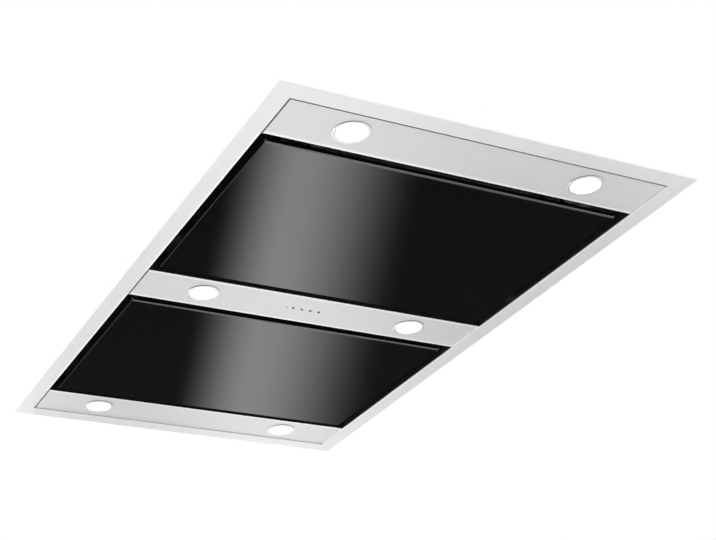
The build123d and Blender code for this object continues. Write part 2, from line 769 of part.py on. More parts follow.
with BuildPart() as indicator_pipe:
    with BuildSketch(Plane.XY.offset(strip_recess - button_proud / 2)):
        with Locations((indicator_x, 0)):
            Circle(indicator_r)
    extrude(amount=board_z - strip_recess + button_proud / 2)
    with BuildSketch(Plane.XY.offset(strip_floor)):
        with Locations((indicator_x, 0)):
            Circle(indicator_flange_r)
    extrude(amount=indicator_flange)
indicator_pipe.part.label = "indicator_pipe"
export_step(indicator_pipe.part, "parts/indicator_pipe.step")

with BuildPart() as control_board:
    with BuildSketch(Plane.XY.offset(board_z)):
        with Locations((board_x, 0)):
            Rectangle(board_length, board_width)
    extrude(amount=board_sheet)
control_board.part.label = "control_board"
export_step(control_board.part, "parts/control_board.step")

with BuildPart() as key_switches:
    with BuildSketch(Plane.XY.offset(switch_z)):
        with Locations(*[(x, 0) for x in button_xs]):
            Rectangle(switch_size, switch_size)
    extrude(amount=switch_height)
    with BuildSketch(Plane.XY.offset(switch_z)):
        with Locations(*[(x, 0) for x in button_xs]):
            Circle(button_stem_r + button_stem_gap)
    extrude(amount=button_stem_in + button_travel + touch_gap, mode=Mode.SUBTRACT)
key_switches.part.label = "key_switches"
export_step(key_switches.part, "parts/key_switches.step")

with BuildPart() as board_tray:
    with BuildSketch(Plane.XY.offset(strip_floor)):
        with Locations((board_x, 0)):
            Rectangle(board_length, board_width)
            Rectangle(board_length - 2 * tray_sheet, board_width - 2 * tray_sheet, mode=Mode.SUBTRACT)
    extrude(amount=board_above_strip)
board_tray.part.label = "board_tray"
export_step(board_tray.part, "parts/board_tray.step")

# ---------------------------------------------------------------- fan


def scroll_outline(grow, top):
    """Edges of the scroll's outline, grown outwards by grow, with its outlet at the height top."""
    centre_left, centre_right = fan_x - scroll_step / 2, fan_x + scroll_step / 2
    centre_low, centre_high = fan_axis_z - scroll_step / 2, fan_axis_z + scroll_step / 2
    tongue_z = fan_axis_z + top_gap + tongue_r
    with BuildLine() as outline:
        CenterArc((centre_left, tongue_z), tongue_r - grow, -90, 90)
        CenterArc((centre_left, centre_low), scroll_r + grow, 90, 90)
        CenterArc((centre_right, centre_low), scroll_r + scroll_step + grow, 180, 90)
        CenterArc((centre_right, centre_high), scroll_r + 2 * scroll_step + grow, 270, 90)
        Line((fan_x + exit_right + grow, centre_high), (fan_x + exit_right + grow, top))
        Line((fan_x + exit_right + grow, top), (fan_x + exit_left - grow, top))
        Line((fan_x + exit_left - grow, top), (fan_x + exit_left - grow, tongue_z))
    return outline.edges()


with BuildPart() as scroll_wall:
    with BuildSketch(Plane.XZ):
        make_face(scroll_outline(scroll_sheet, exit_z))
        make_face(scroll_outline(0, exit_z + scroll_sheet), mode=Mode.SUBTRACT)
    extrude(amount=scroll_width / 2, both=True)
scroll_wall.part.label = "scroll_wall"
export_step(scroll_wall.part, "parts/scroll_wall.step")

arm_angles = [n * 360 / arm_count for n in range(arm_count)]
blade_line = CenterArc((impeller_r - blade_arc_in, blade_arc_up), blade_arc_r, blade_arc_start, blade_arc_deg)
for end, sy in ends:
    with BuildPart() as scroll_side:
        with BuildSketch(Plane.XZ.offset(-sy * (scroll_width / 2 + scroll_sheet / 2))):
            make_face(scroll_outline(scroll_sheet, exit_z))
            with Locations((fan_x, fan_axis_z)):
                Circle(inlet_r, mode=Mode.SUBTRACT)
                if end == "front":
                    with PolarLocations(arm_reach + arm_foot / 2, arm_count):
                        Circle(short_screw_r + screw_clearance, mode=Mode.SUBTRACT)
        extrude(amount=scroll_sheet / 2, both=True)
    scroll_side.part.label = f"scroll_side_{end}"
    export_step(scroll_side.part, f"parts/scroll_side_{end}.step")

with BuildPart() as impeller:
    with BuildSketch(Plane.XZ):
        with Locations((fan_x, fan_axis_z)):
            Circle(impeller_r - blade_sheet)
    extrude(amount=impeller_plate / 2, both=True)
    with BuildSketch(Plane.XZ):
        with Locations((fan_x, fan_axis_z)):
            with PolarLocations(0, blade_count):
                SlotArc(blade_line, blade_sheet)
    extrude(amount=impeller_width / 2, both=True)
    for y in (-impeller_width / 2, impeller_width / 2 - impeller_plate):
        with BuildSketch(Plane.XZ.offset(-y)):
            with Locations((fan_x, fan_axis_z)):
                Circle(impeller_r)
                Circle(impeller_r - impeller_ring, mode=Mode.SUBTRACT)
        extrude(amount=-impeller_plate)
    with BuildSketch(Plane.XZ):
        with Locations((fan_x, fan_axis_z)):
            Circle(hub_r)
    extrude(amount=hub_length / 2, both=True)
    with BuildSketch(Plane.XZ):
        with Locations((fan_x, fan_axis_z)):
            Circle(shaft_r + seat_clearance)
    extrude(amount=hub_length, both=True, mode=Mode.SUBTRACT)
impeller.part.label = "impeller"
export_step(impeller.part, "parts/impeller.step")

# Leaf straps hang the scroll from the roof, beside the outlet.
with BuildPart() as fan_straps:
    for _, sy in ends:
        with BuildSketch(Plane.YZ.offset(fan_x + strap_x)):
            with Locations((sy * (scroll_side_y + strap_sheet / 2), (strap_bottom + roof_z) / 2)):
                Rectangle(strap_sheet, roof_z - strap_bottom)
            with Locations((sy * (scroll_side_y + strap_foot / 2), roof_z - strap_sheet / 2)):
                Rectangle(strap_foot, strap_sheet)
        extrude(amount=strap_width / 2, both=True)
fan_straps.part.label = "fan_straps"
export_step(fan_straps.part, "parts/fan_straps.step")

# ---------------------------------------------------------------- motor, inside the impeller's front half

stator_y = (motor_from_centre + motor_end_y) / 2  # middle of the motor, towards the front
boss_r = bearing_r + bearing_boss
bearing_ys = (motor_from_centre + motor_sheet, motor_end_y - motor_sheet - bearing_width)

with BuildPart() as motor_shell:
    with BuildSketch(Plane.XZ.offset(motor_from_centre)):
        with Locations((fan_x, fan_axis_z)):
            Circle(motor_r)
    extrude(amount=motor_length)
    fillet(motor_shell.edges().filter_by(GeomType.CIRCLE), motor_edge_round)
    with BuildSketch(Plane.XZ.offset(motor_from_centre + motor_sheet)):
        with Locations((fan_x, fan_axis_z)):
            Circle(motor_r - motor_sheet)
    extrude(amount=motor_length - 2 * motor_sheet, mode=Mode.SUBTRACT)
    for y in bearing_ys:
        with BuildSketch(Plane.XZ.offset(y)):
            with Locations((fan_x, fan_axis_z)):
                Circle(boss_r)
                Circle(bearing_r + seat_clearance, mode=Mode.SUBTRACT)
        extrude(amount=bearing_width)
    with BuildSketch(Plane.XZ.offset(motor_from_centre)):
        with Locations((fan_x, fan_axis_z)):
            Circle(shaft_hole_r)
    extrude(amount=motor_length, mode=Mode.SUBTRACT)
motor_shell.part.label = "motor_shell"
export_step(motor_shell.part, "parts/motor_shell.step")

with BuildPart() as motor_bearings:
    for y in bearing_ys:
        with BuildSketch(Plane.XZ.offset(y)):
            with Locations((fan_x, fan_axis_z)):
                Circle(bearing_r)
                Circle(shaft_r + running_clearance, mode=Mode.SUBTRACT)
        extrude(amount=bearing_width)
motor_bearings.part.label = "motor_bearings"
export_step(motor_bearings.part, "parts/motor_bearings.step")

with BuildPart() as motor_stator:
    with BuildSketch(Plane.XZ.offset(stator_y)):
        with Locations((fan_x, fan_axis_z)):
            Circle(motor_r - motor_sheet - touch_gap)
            Circle(stator_r_in, mode=Mode.SUBTRACT)
    extrude(amount=stator_length / 2, both=True)
motor_stator.part.label = "motor_stator"
export_step(motor_stator.part, "parts/motor_stator.step")

with BuildPart() as motor_rotor:
    with BuildSketch(Plane.XZ.offset(stator_y)):
        with Locations((fan_x, fan_axis_z)):
            Circle(stator_r_in - rotor_air_gap)
    extrude(amount=stator_length / 2, both=True)
    with BuildSketch(Plane.XZ.offset(-hub_length / 2 - shaft_beyond_hub)):
        with Locations((fan_x, fan_axis_z)):
            Circle(shaft_r)
    extrude(amount=motor_end_y - motor_sheet + hub_length / 2 + shaft_beyond_hub)
motor_rotor.part.label = "motor_rotor"
export_step(motor_rotor.part, "parts/motor_rotor.step")

# Three cranked arms carry the motor on the scroll's front side.
with BuildPart() as motor_bracket:
    for angle in arm_angles:
        radial = Plane((fan_x, 0, fan_axis_z)).rotated((0, -angle, 0))
        with BuildSketch(radial):
            with Locations(((arm_start_r + arm_reach) / 2, -motor_end_y - arm_sheet / 2)):
                Rectangle(arm_reach - arm_start_r, arm_sheet)
            with Locations((arm_reach - arm_sheet / 2, -(scroll_side_y + motor_end_y + arm_sheet) / 2)):
                Rectangle(arm_sheet, motor_end_y + arm_sheet - scroll_side_y)
            with Locations((arm_reach + arm_foot / 2 - arm_sheet / 2, -scroll_side_y - arm_sheet / 2)):
                Rectangle(arm_foot + arm_sheet, arm_sheet)
        extrude(amount=arm_width / 2, both=True)
    with BuildSketch(Plane.XZ.offset(motor_end_y)):
        with Locations((fan_x, fan_axis_z)):
            Circle(motor_r - motor_edge_round)
            Circle(arm_start_r, mode=Mode.SUBTRACT)
    extrude(amount=arm_sheet)
    with BuildSketch(Plane.XZ.offset(scroll_side_y)):
        with Locations((fan_x, fan_axis_z)):
            with PolarLocations(arm_reach + arm_foot / 2, arm_count):
                Circle(short_screw_r + screw_clearance)
    extrude(amount=arm_sheet, mode=Mode.SUBTRACT)
motor_bracket.part.label = "motor_bracket"
export_step(motor_bracket.part, "parts/motor_bracket.step")

# The same short screws hold the motor's arms and the outlet collar.
with BuildPart() as short_screws:
    for screw_r, length in ((short_screw_head_r, short_screw_head), (short_screw_r, -short_screw_length)):
        with BuildSketch(Plane.XZ.offset(scroll_side_y + arm_sheet)):
            with Locations((fan_x, fan_axis_z)):
                with PolarLocations(arm_reach + arm_foot / 2, arm_count):
                    Circle(screw_r)
        extrude(amount=length)
        with BuildSketch(Plane.XY.offset(casing_height + collar_flange)):
            with PolarLocations(collar_screw_pcd_r, collar_screw_count, start_angle=collar_screw_turn):
                Circle(screw_r)
        extrude(amount=length)
short_screws.part.label = "short_screws"
export_step(short_screws.part, "parts/short_screws.step")

# ---------------------------------------------------------------- outlet

with BuildPart() as outlet_transition:
    with BuildSketch(Plane.XY.offset(exit_z)):
        RectangleRounded(exit_width + 2 * scroll_sheet, 2 * scroll_side_y, transition_corner + scroll_sheet)
    with BuildSketch(Plane.XY.offset(roof_z)):
        Circle(duct_r)
    loft()
    with BuildSketch(Plane.XY.offset(exit_z)):
        RectangleRounded(exit_width, scroll_width, transition_corner)
    with BuildSketch(Plane.XY.offset(roof_z)):
        Circle(duct_bore_r)
    loft(mode=Mode.SUBTRACT)
outlet_transition.part.label = "outlet_transition"
export_step(outlet_transition.part, "parts/outlet_transition.step")

with BuildPart() as outlet_collar:
    with BuildSketch(Plane.XY.offset(casing_height)):
        Circle(collar_flange_r)
        with PolarLocations(collar_screw_pcd_r, collar_screw_count, start_angle=collar_screw_turn):
            Circle(short_screw_r + screw_clearance, mode=Mode.SUBTRACT)
    extrude(amount=collar_flange)
    with BuildSketch(Plane.XY.offset(casing_height)):
        Circle(duct_r)
    extrude(amount=collar_height)
    with BuildSketch(Plane.XY.offset(casing_height)):
        Circle(duct_bore_r)
    extrude(amount=collar_height, mode=Mode.SUBTRACT)
    with BuildSketch(Plane.XY.offset(flap_z - flap_sheet / 2 - touch_gap)):
        Circle(duct_bore_r)
        Circle(duct_bore_r - flap_seat, mode=Mode.SUBTRACT)
    extrude(amount=-flap_seat_sheet)
    with BuildSketch(Plane.XZ):
        with Locations((0, flap_z)):
            Circle(flap_pin_r + seat_clearance)
    extrude(amount=duct_r, both=True, mode=Mode.SUBTRACT)
outlet_collar.part.label = "outlet_collar"
export_step(outlet_collar.part, "parts/outlet_collar.step")

with BuildPart() as flap_pin:
    with BuildSketch(Plane.XZ):
        with Locations((0, flap_z)):
            Circle(flap_pin_r)
    extrude(amount=duct_r - touch_gap, both=True)
flap_pin.part.label = "flap_pin"
export_step(flap_pin.part, "parts/flap_pin.step")

# Each half-round flap has two knuckles on the pin. The other flap's knuckles get notches.
knuckle_ys = {"left": (-1.5 * flap_knuckle_pitch / 2, 0.5 * flap_knuckle_pitch / 2),
              "right": (-0.5 * flap_knuckle_pitch / 2, 1.5 * flap_knuckle_pitch / 2)}
flap_edge_x = flap_pin_r + flap_edge_gap
for side, sx in sides:
    other = "right" if side == "left" else "left"
    with BuildPart() as damper_flap:
        with BuildSketch(Plane.XY.offset(flap_z)):
            Circle(flap_r)
            with Locations((sx * (flap_edge_x - flap_r), 0)):
                Rectangle(2 * flap_r, 2 * flap_r, mode=Mode.SUBTRACT)
            with Locations(*[(0, y) for y in knuckle_ys[other]]):
                Rectangle(2 * (flap_knuckle_r + flap_edge_gap), flap_knuckle_length + 2 * flap_edge_gap,
                          mode=Mode.SUBTRACT)
        extrude(amount=flap_sheet / 2, both=True)
        for y in knuckle_ys[side]:
            with BuildSketch(Plane.XZ.offset(-y)):
                with Locations((0, flap_z)):
                    Circle(flap_knuckle_r)
                    Circle(flap_pin_r + running_clearance, mode=Mode.SUBTRACT)
            extrude(amount=flap_knuckle_length / 2, both=True)
    damper_flap.part.label = f"damper_flap_{side}"
    export_step(damper_flap.part, f"parts/damper_flap_{side}.step")

# ---------------------------------------------------------------- electrics

with BuildPart() as terminal_box:
    with BuildSketch(Plane.XY.offset(casing_height)):
        with Locations((box_x, -box_y)):
            RectangleRounded(terminal_width, terminal_length, terminal_corner)
    extrude(amount=terminal_height)
    with BuildSketch(Plane.XY.offset(casing_height + terminal_wall)):
        with Locations((box_x, -box_y)):
            Rectangle(terminal_width - 2 * terminal_wall, terminal_length - 2 * terminal_wall)
    extrude(amount=terminal_height, mode=Mode.SUBTRACT)
    with BuildSketch(gland_wall):
        Circle(gland_thread_r + screw_clearance)
    extrude(amount=-2 * terminal_wall, mode=Mode.SUBTRACT)
terminal_box.part.label = "terminal_box"
export_step(terminal_box.part, "parts/terminal_box.step")

with BuildPart() as terminal_cover:
    with BuildSketch(Plane.XY.offset(casing_height + terminal_height)):
        with Locations((box_x, -box_y)):
            RectangleRounded(terminal_width, terminal_length, terminal_corner)
    extrude(amount=terminal_lid)
    fillet(terminal_cover.edges().group_by(Axis.Z)[-1], terminal_lid_round)
terminal_cover.part.label = "terminal_cover"
export_step(terminal_cover.part, "parts/terminal_cover.step")

with BuildPart() as cable_gland:
    with BuildSketch(gland_wall):
        RegularPolygon(gland_flats_r, 6, major_radius=False)
    extrude(amount=gland_nut)
    with BuildSketch(gland_wall.offset(gland_nut)):
        Circle(gland_dome_r)
    extrude(amount=gland_dome)
    fillet(cable_gland.edges().group_by(Axis.Y)[0], gland_dome_round)
    with BuildSketch(gland_wall):
        Circle(gland_thread_r)
    extrude(amount=-gland_thread)
    with BuildSketch(gland_wall.offset(-gland_thread)):
        Circle(gland_bore_r)
    extrude(amount=gland_thread + gland_nut + gland_dome, mode=Mode.SUBTRACT)
cable_gland.part.label = "cable_gland"
export_step(cable_gland.part, "parts/cable_gland.step")

with BuildPart() as lamp_driver:
    with BuildSketch(Plane.XY.offset(roof_z)):
        with Locations((-box_x, box_y)):
            RectangleRounded(driver_width, driver_length, box_corner)
    extrude(amount=-driver_height)
    chamfer(lamp_driver.edges().group_by(Axis.Z)[0], box_chamfer)
lamp_driver.part.label = "lamp_driver"
export_step(lamp_driver.part, "parts/lamp_driver.step")

with BuildPart() as fan_control_box:
    with BuildSketch(Plane.XY.offset(roof_z)):
        with Locations((box_x, box_y)):
            RectangleRounded(control_box_width, control_box_length, box_corner)
    extrude(amount=-control_box_height)
    chamfer(fan_control_box.edges().group_by(Axis.Z)[0], box_chamfer)
fan_control_box.part.label = "fan_control_box"
export_step(fan_control_box.part, "parts/fan_control_box.step")
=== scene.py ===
# %% [markdown]
# # A ceiling range hood
# This hood is set flush into a kitchen ceiling. From below it shows a brushed steel border, three
# steel strips with spot lamps, and two black glass panels with an open slot all round each one.
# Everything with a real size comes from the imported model, so this lesson loads it first and then
# only adds light, finishes and the small formed pieces that make it look made.

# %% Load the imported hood
import math

import bmesh
import bpy
from mathutils import Matrix, Quaternion, Vector


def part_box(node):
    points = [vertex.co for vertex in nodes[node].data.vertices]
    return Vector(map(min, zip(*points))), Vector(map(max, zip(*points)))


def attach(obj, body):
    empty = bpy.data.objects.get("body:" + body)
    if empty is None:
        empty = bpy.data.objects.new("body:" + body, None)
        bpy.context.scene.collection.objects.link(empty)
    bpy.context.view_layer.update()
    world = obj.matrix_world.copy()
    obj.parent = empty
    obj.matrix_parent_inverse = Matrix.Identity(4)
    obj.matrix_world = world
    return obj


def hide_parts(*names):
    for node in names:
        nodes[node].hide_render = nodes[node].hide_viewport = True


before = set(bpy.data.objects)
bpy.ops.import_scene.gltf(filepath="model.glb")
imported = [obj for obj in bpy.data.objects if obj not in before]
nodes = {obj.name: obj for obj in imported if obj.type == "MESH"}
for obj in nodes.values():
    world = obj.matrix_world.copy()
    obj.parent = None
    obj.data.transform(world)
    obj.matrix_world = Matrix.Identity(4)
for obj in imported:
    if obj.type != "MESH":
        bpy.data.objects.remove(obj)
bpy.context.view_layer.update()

scene = bpy.context.scene
mm = 0.001

# %% [markdown]
# ## The camera
# The photographer stood to the left of the hood's front end and looked up at it. A camera can be
# aimed by hand in the viewport, but a place, a point to look at and a small roll can be written
# down as sizes, and they survive any later change. The lens is long, so the far end shrinks only
# a little. A small sideways shift stands in for the crop of the picture.

# %% Set the camera
camera_place = Vector((-1.069, -1.948, -1.082))
camera_target = Vector((-0.150, -0.110, 0.0))
camera_roll = math.radians(-3.03)
picture_width = 716.0
focal_length = 1422.0  # in pixels of that width
lens_axis_column = 258.0

camera_data = bpy.data.cameras.new("camera")
camera_data.sensor_width = 36.0
camera_data.lens = focal_length / picture_width * camera_data.sensor_width
camera_data.shift_x = 0.5 - lens_axis_column / picture_width
camera = bpy.data.objects.new("camera", camera_data)
scene.collection.objects.link(camera)

line_of_sight = camera_target - camera_place
roll_turn = Quaternion((0, 0, 1), camera_roll)
camera.location = camera_place
camera.rotation_mode = "QUATERNION"
camera.rotation_quaternion = line_of_sight.to_track_quat("-Z", "Y") @ roll_turn
scene.camera = camera
scene.view_settings.view_transform = "Standard"
looking_up = math.degrees(math.asin(line_of_sight.normalized().z))
print("lens", round(camera_data.lens, 1), "mm, looking up", round(looking_up, 1), "degrees")

# %% [markdown]
# ## Small helpers for shader trees
# Shader nodes can be placed by hand, but then nobody can read how they hang together. A few short
# helpers keep each finish down to a few lines: they fill a node's inputs, do sums, mix two colours,
# scale or split a vector, and stretch a value from one range to another.

# %% Helpers for shader trees
def connect(tree, value, socket):
    """Link a socket to a socket, or write a plain value into it."""
    if isinstance(value, bpy.types.NodeSocket):
        tree.links.new(value, socket)
    else:
        socket.default_value = value


def add_node(tree, kind, **sockets):
    """A shader node with its inputs filled by name; Base_Color means Base Color."""
    made = tree.nodes.new("ShaderNode" + kind)
    for name, value in sockets.items():
        connect(tree, value, made.inputs[name.replace("_", " ")])
    return made


def calculate(tree, operation, first, second=0.0):
    made = tree.nodes.new("ShaderNodeMath")
    made.operation = operation
    connect(tree, first, made.inputs[0])
    connect(tree, second, made.inputs[1])
    return made.outputs[0]


def mix_colours(tree, share, first, second):
    made = tree.nodes.new("ShaderNodeMix")
    made.data_type = "RGBA"
    connect(tree, share, made.inputs["Factor"])
    connect(tree, first, made.inputs[6])
    connect(tree, second, made.inputs[7])
    return made.outputs[2]


def rescale(tree, value, low, high, new_low, new_high, easing="LINEAR"):
    made = add_node(tree, "MapRange", Value=value, From_Min=low, From_Max=high,
                    To_Min=new_low, To_Max=new_high)
    made.interpolation_type = easing
    return made.outputs[0]


def scaled_vector(tree, vector, factors):
    made = tree.nodes.new("ShaderNodeVectorMath")
    made.operation = "MULTIPLY"
    connect(tree, vector, made.inputs[0])
    connect(tree, factors, made.inputs[1])
    return made.outputs[0]


def split(tree, vector):
    return add_node(tree, "SeparateXYZ", Vector=vector).outputs


print("helpers for shader trees are ready")

# %% [markdown]
# ### Where a material starts and ends
# A new material brings nodes of its own. It is simpler to start from an empty tree, and every tree
# ends in one output. Some stage pieces also mix two shaders there, such as white and clear.

# %% Helpers for whole materials
def mix_shaders(tree, share, first, second):
    made = tree.nodes.new("ShaderNodeMixShader")
    for value, socket in zip((share, first, second), made.inputs):
        connect(tree, value, socket)
    return made.outputs[0]


def blank_material(name):
    material = bpy.data.materials.new(name)
    material.use_nodes = True
    material.node_tree.nodes.clear()
    return material, material.node_tree


def put_out(tree, shader_socket):
    """End a material's tree in its output."""
    output = tree.nodes.new("ShaderNodeOutputMaterial")
    tree.links.new(shader_socket, output.inputs["Surface"])


print("helpers for materials are ready")

# %% [markdown]
# ## Helpers for pieces
# A piece is a mesh, a finish and a body to ride on. Meshes are built with bmesh, which makes them
# from plain points and faces. Pressed and turned metal is smooth with clear corners, so most meshes
# are shaded smooth and keep a hard line wherever two faces meet at a steep angle.

# %% Helpers for pieces
def link_piece(name, mesh, material, place=(0, 0, 0), turn=None, body="housing"):
    """Put a mesh into the scene as a piece that rides on a body."""
    piece = bpy.data.objects.new(name, mesh)
    scene.collection.objects.link(piece)
    piece.location = place
    if turn is not None:
        piece.rotation_mode = "QUATERNION"
        piece.rotation_quaternion = turn
    if not mesh.materials:
        mesh.materials.append(material)
    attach(piece, body)
    return piece


def plain_mesh(name, form):
    """Turn a bmesh into a mesh with flat faces."""
    mesh = bpy.data.meshes.new(name)
    form.to_mesh(mesh)
    form.free()
    return mesh


def finish_mesh(name, form, sharp_angle=35):
    """Turn a bmesh into a mesh with smooth faces and sharp corners."""
    bmesh.ops.recalc_face_normals(form, faces=form.faces)
    mesh = plain_mesh(name, form)
    mesh.shade_smooth()
    mesh.set_sharp_from_angle(angle=math.radians(sharp_angle))
    return mesh


print("helpers for pieces are ready")

# %% [markdown]
# ### A lathe
# Round pieces such as lamp rings, screw heads and the duct collar are turned on a lathe or come
# from a turned mould, so one lathe function serves them all. The Screw modifier could do this too,
# but a function that spins a profile of radii and heights round the Z axis is easier to read.

# %% The lathe
def round_place(angle, radius):
    """The two coordinates of a place on a circle."""
    return radius * math.cos(angle), radius * math.sin(angle)


def lathe(name, profile, sides=72, ring=False):
    """Turn (radius, height) points in millimetres round Z. A ring's profile closes on itself."""
    form = bmesh.new()
    hoops = []
    for radius, height in profile:
        if radius == 0:
            hoops.append([form.verts.new((0, 0, height * mm))] * sides)
        else:
            spots = [round_place(2 * math.pi * n / sides, radius * mm) for n in range(sides)]
            hoops.append([form.verts.new((x, y, height * mm)) for x, y in spots])
    neighbours = list(zip(hoops, hoops[1:]))
    if ring:
        neighbours.append((hoops[-1], hoops[0]))
    for low, high in neighbours:
        for n in range(sides):
            corners = [low[n], low[n - 1], high[n - 1], high[n]]
            form.faces.new(list(dict.fromkeys(corners)))
    return finish_mesh(name, form)


print("the lathe is ready")

# %% [markdown]
# ## Ceiling, floor and white room
# The hood hangs in a ceiling, so from below only its face shows and everything above is hidden.
# A solid white slab would do that, but it would also shut out the light for the views from above.
# So ceiling and floor are thin sheets whose material is clear from behind. Geometry's Backfacing
# tells the shader which side it is on.

# %% Helpers for the sheets
square = ((-1, -1), (1, -1), (1, 1), (-1, 1))


def flat_ring(name, hole_x, hole_y, outer, height):
    """A square sheet with a rectangular hole, facing down."""
    form = bmesh.new()
    inner = [form.verts.new((x * hole_x, y * hole_y, height)) for x, y in square]
    outside = [form.verts.new((x * outer, y * outer, height)) for x, y in square]
    for n in range(4):
        form.faces.new((inner[n], outside[n], outside[n - 1], inner[n - 1]))
    form.normal_update()
    for face in form.faces:
        if face.normal.z > 0:
            face.normal_flip()
    return plain_mesh(name, form)


def shown_from_one_side(name, surface_kind, **surface_values):
    """The parts of a stage material that is clear from behind."""
    material, tree = blank_material(name)
    front = add_node(tree, surface_kind, **surface_values).outputs[0]
    clear = add_node(tree, "BsdfTransparent").outputs[0]
    behind = add_node(tree, "NewGeometry").outputs["Backfacing"]
    return material, tree, front, clear, behind


print("stage sheets can be made")

# %% [markdown]
# ### The ceiling
# The hole in the ceiling is a little smaller than the border, which hides its edge. Only the camera
# sees this sheet: Light Path and Backfacing choose between white and clear.

# %% Build the ceiling
ceiling_lap = 6 * mm  # the border covers this much of the ceiling
border_sheet = 1.5 * mm
hairline_gap = 0.1 * mm
ceiling_reach = 3.0

hole_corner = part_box("border_frame")[1] - Vector((ceiling_lap, ceiling_lap, 0))
ceiling_height = border_sheet + hairline_gap
ceiling_mesh = flat_ring("ceiling", hole_corner.x, hole_corner.y, ceiling_reach, ceiling_height)
ceiling = bpy.data.objects.new("ceiling", ceiling_mesh)
white, tree, lit, clear, behind = shown_from_one_side("ceiling_white", "Emission", Color=(1, 1, 1, 1))
seen = add_node(tree, "LightPath").outputs["Is Camera Ray"]
from_below = calculate(tree, "SUBTRACT", 1.0, behind)
put_out(tree, mix_shaders(tree, calculate(tree, "MULTIPLY", seen, from_below), clear, lit))
ceiling_mesh.materials.append(white)
scene.collection.objects.link(ceiling)
print("ceiling at", round(ceiling_height / mm, 1), "mm")

# %% [markdown]
# ### The floor
# The floor is a plain pale sheet far below. It is matt, so that it can hold a shadow, but steel and
# glass have to find the same bright floor that the camera sees, so mirrors get a plain glow.

# %% Build the floor
floor_height = -2.4
floor_reach = 30.0

floor_mesh = bpy.data.meshes.new("floor")
floor_corners = [(x * floor_reach, y * floor_reach, floor_height) for x, y in square]
floor_mesh.from_pydata(floor_corners, [], [(0, 1, 2, 3)])
floor = bpy.data.objects.new("floor", floor_mesh)
pale, tree, matt, clear, behind = shown_from_one_side(
    "floor_pale", "BsdfDiffuse", Color=(0.86, 0.86, 0.86, 1), Roughness=1.0)
glossy = add_node(tree, "LightPath").outputs["Is Glossy Ray"]
shine = add_node(tree, "Emission", Color=(0.95, 0.95, 0.95, 1)).outputs[0]
put_out(tree, mix_shaders(tree, behind, mix_shaders(tree, glossy, matt, shine), clear))
floor_mesh.materials.append(pale)
scene.collection.objects.link(floor)
print("floor at", floor_height, "m")

# %% [markdown]
# ## The room's light
# A studio for steel is mostly white walls: metal has no colour of its own to show, only what it
# mirrors. The world is plain white wherever the camera, a mirror or clear plastic looks at it, and
# weaker as a lamp, so that matt surfaces keep their own colour.

# %% Paint the room white
world = bpy.data.worlds.new("white_room")
scene.world = world
world.use_nodes = True
tree = world.node_tree
background = tree.nodes["Background"]
background.inputs["Color"].default_value = (1, 1, 1, 1)
path = add_node(tree, "LightPath").outputs
mirrored = calculate(tree, "MAXIMUM", path["Is Glossy Ray"], path["Is Transmission Ray"])
shown = calculate(tree, "MAXIMUM", path["Is Camera Ray"], mirrored)
ambient_strength = 0.55
tree.links.new(rescale(tree, shown, 0.0, 1.0, ambient_strength, 1.0), background.inputs["Strength"])
print("the room gives", ambient_strength, "of its white as light")

# %% [markdown]
# ### Soft lamps
# An even room alone would leave the forms flat. Broad area lamps add the shading: one pair from
# below for the hood's face, one pair from above for its casing.

# %% Hang the soft lamps
def soft_lamp(name, place, size, watts, target=(0, 0, 0)):
    lamp_data = bpy.data.lights.new(name, "AREA")
    lamp_data.shape = "DISK"
    lamp_data.size = size
    lamp_data.energy = watts
    lamp = bpy.data.objects.new(name, lamp_data)
    scene.collection.objects.link(lamp)
    lamp.location = place
    lamp.rotation_mode = "QUATERNION"
    lamp.rotation_quaternion = (Vector(target) - Vector(place)).to_track_quat("-Z", "Y")
    return lamp


lamps = [
    soft_lamp("face_key", (-2.2, 2.6, -2.0), 2.2, 60),
    soft_lamp("face_fill", (2.4, -1.8, -2.2), 1.6, 12),
    soft_lamp("top_key", (-2.2, -2.6, 2.9), 2.6, 62, (0, 0, 0.2)),
    soft_lamp("top_fill", (2.8, 2.0, 2.2), 2.4, 45, (0, 0, 0.2)),
]
# The face lamps stand just above the floor and would draw a bright wedge on it.
unlit_floor = bpy.data.collections.new("unlit_floor")
unlit_floor.objects.link(floor)
unlit_floor.collection_objects[0].light_linking.link_state = "EXCLUDE"
for lamp in lamps[:2]:
    lamp.light_linking.receiver_collection = unlit_floor
print(len(lamps), "soft lamps")

# %% [markdown]
# ## A black card for the black glass
# Black glass is a mirror, and in a white room it turns grey. Photographers put a black card where
# the glass looks. This one stands on the line of sight mirrored by the hood's face. Only mirrors
# see it: it casts no shadow and the camera looks through it.

# %% Set up the card
card_distance = 2.5
card_width = 3.0
card_height = 1.5
card_offset = 0.33  # sideways, so that it fills both panels

mirrored_sight = line_of_sight.normalized()
mirrored_sight.z *= -1
card_turn = mirrored_sight.to_track_quat("-Z", "Y")
card_side = card_turn @ Vector((1, 0, 0))

card_mesh = bpy.data.meshes.new("mirror_card")
half_x, half_y = card_width / 2, card_height / 2
card_corners = [(card_offset + x * half_x, y * half_y, 0) for x, y in square]
card_mesh.from_pydata(card_corners, [], [(0, 1, 2, 3)])
card = bpy.data.objects.new("mirror_card", card_mesh)
scene.collection.objects.link(card)
card.location = mirrored_sight * card_distance
card.rotation_mode = "QUATERNION"
card.rotation_quaternion = card_turn
card.visible_camera = card.visible_diffuse = False
card.visible_shadow = card.visible_transmission = False
print("card at", [round(v, 2) for v in card.location])

# %% [markdown]
# ### The sheen on the card
# One soft strip of light on the card draws a long sheen across both panels. A lamp would do it too,
# but it would also light everything else. As a glow that rises and falls across the card, leaning a
# little, it exists in the reflection only.

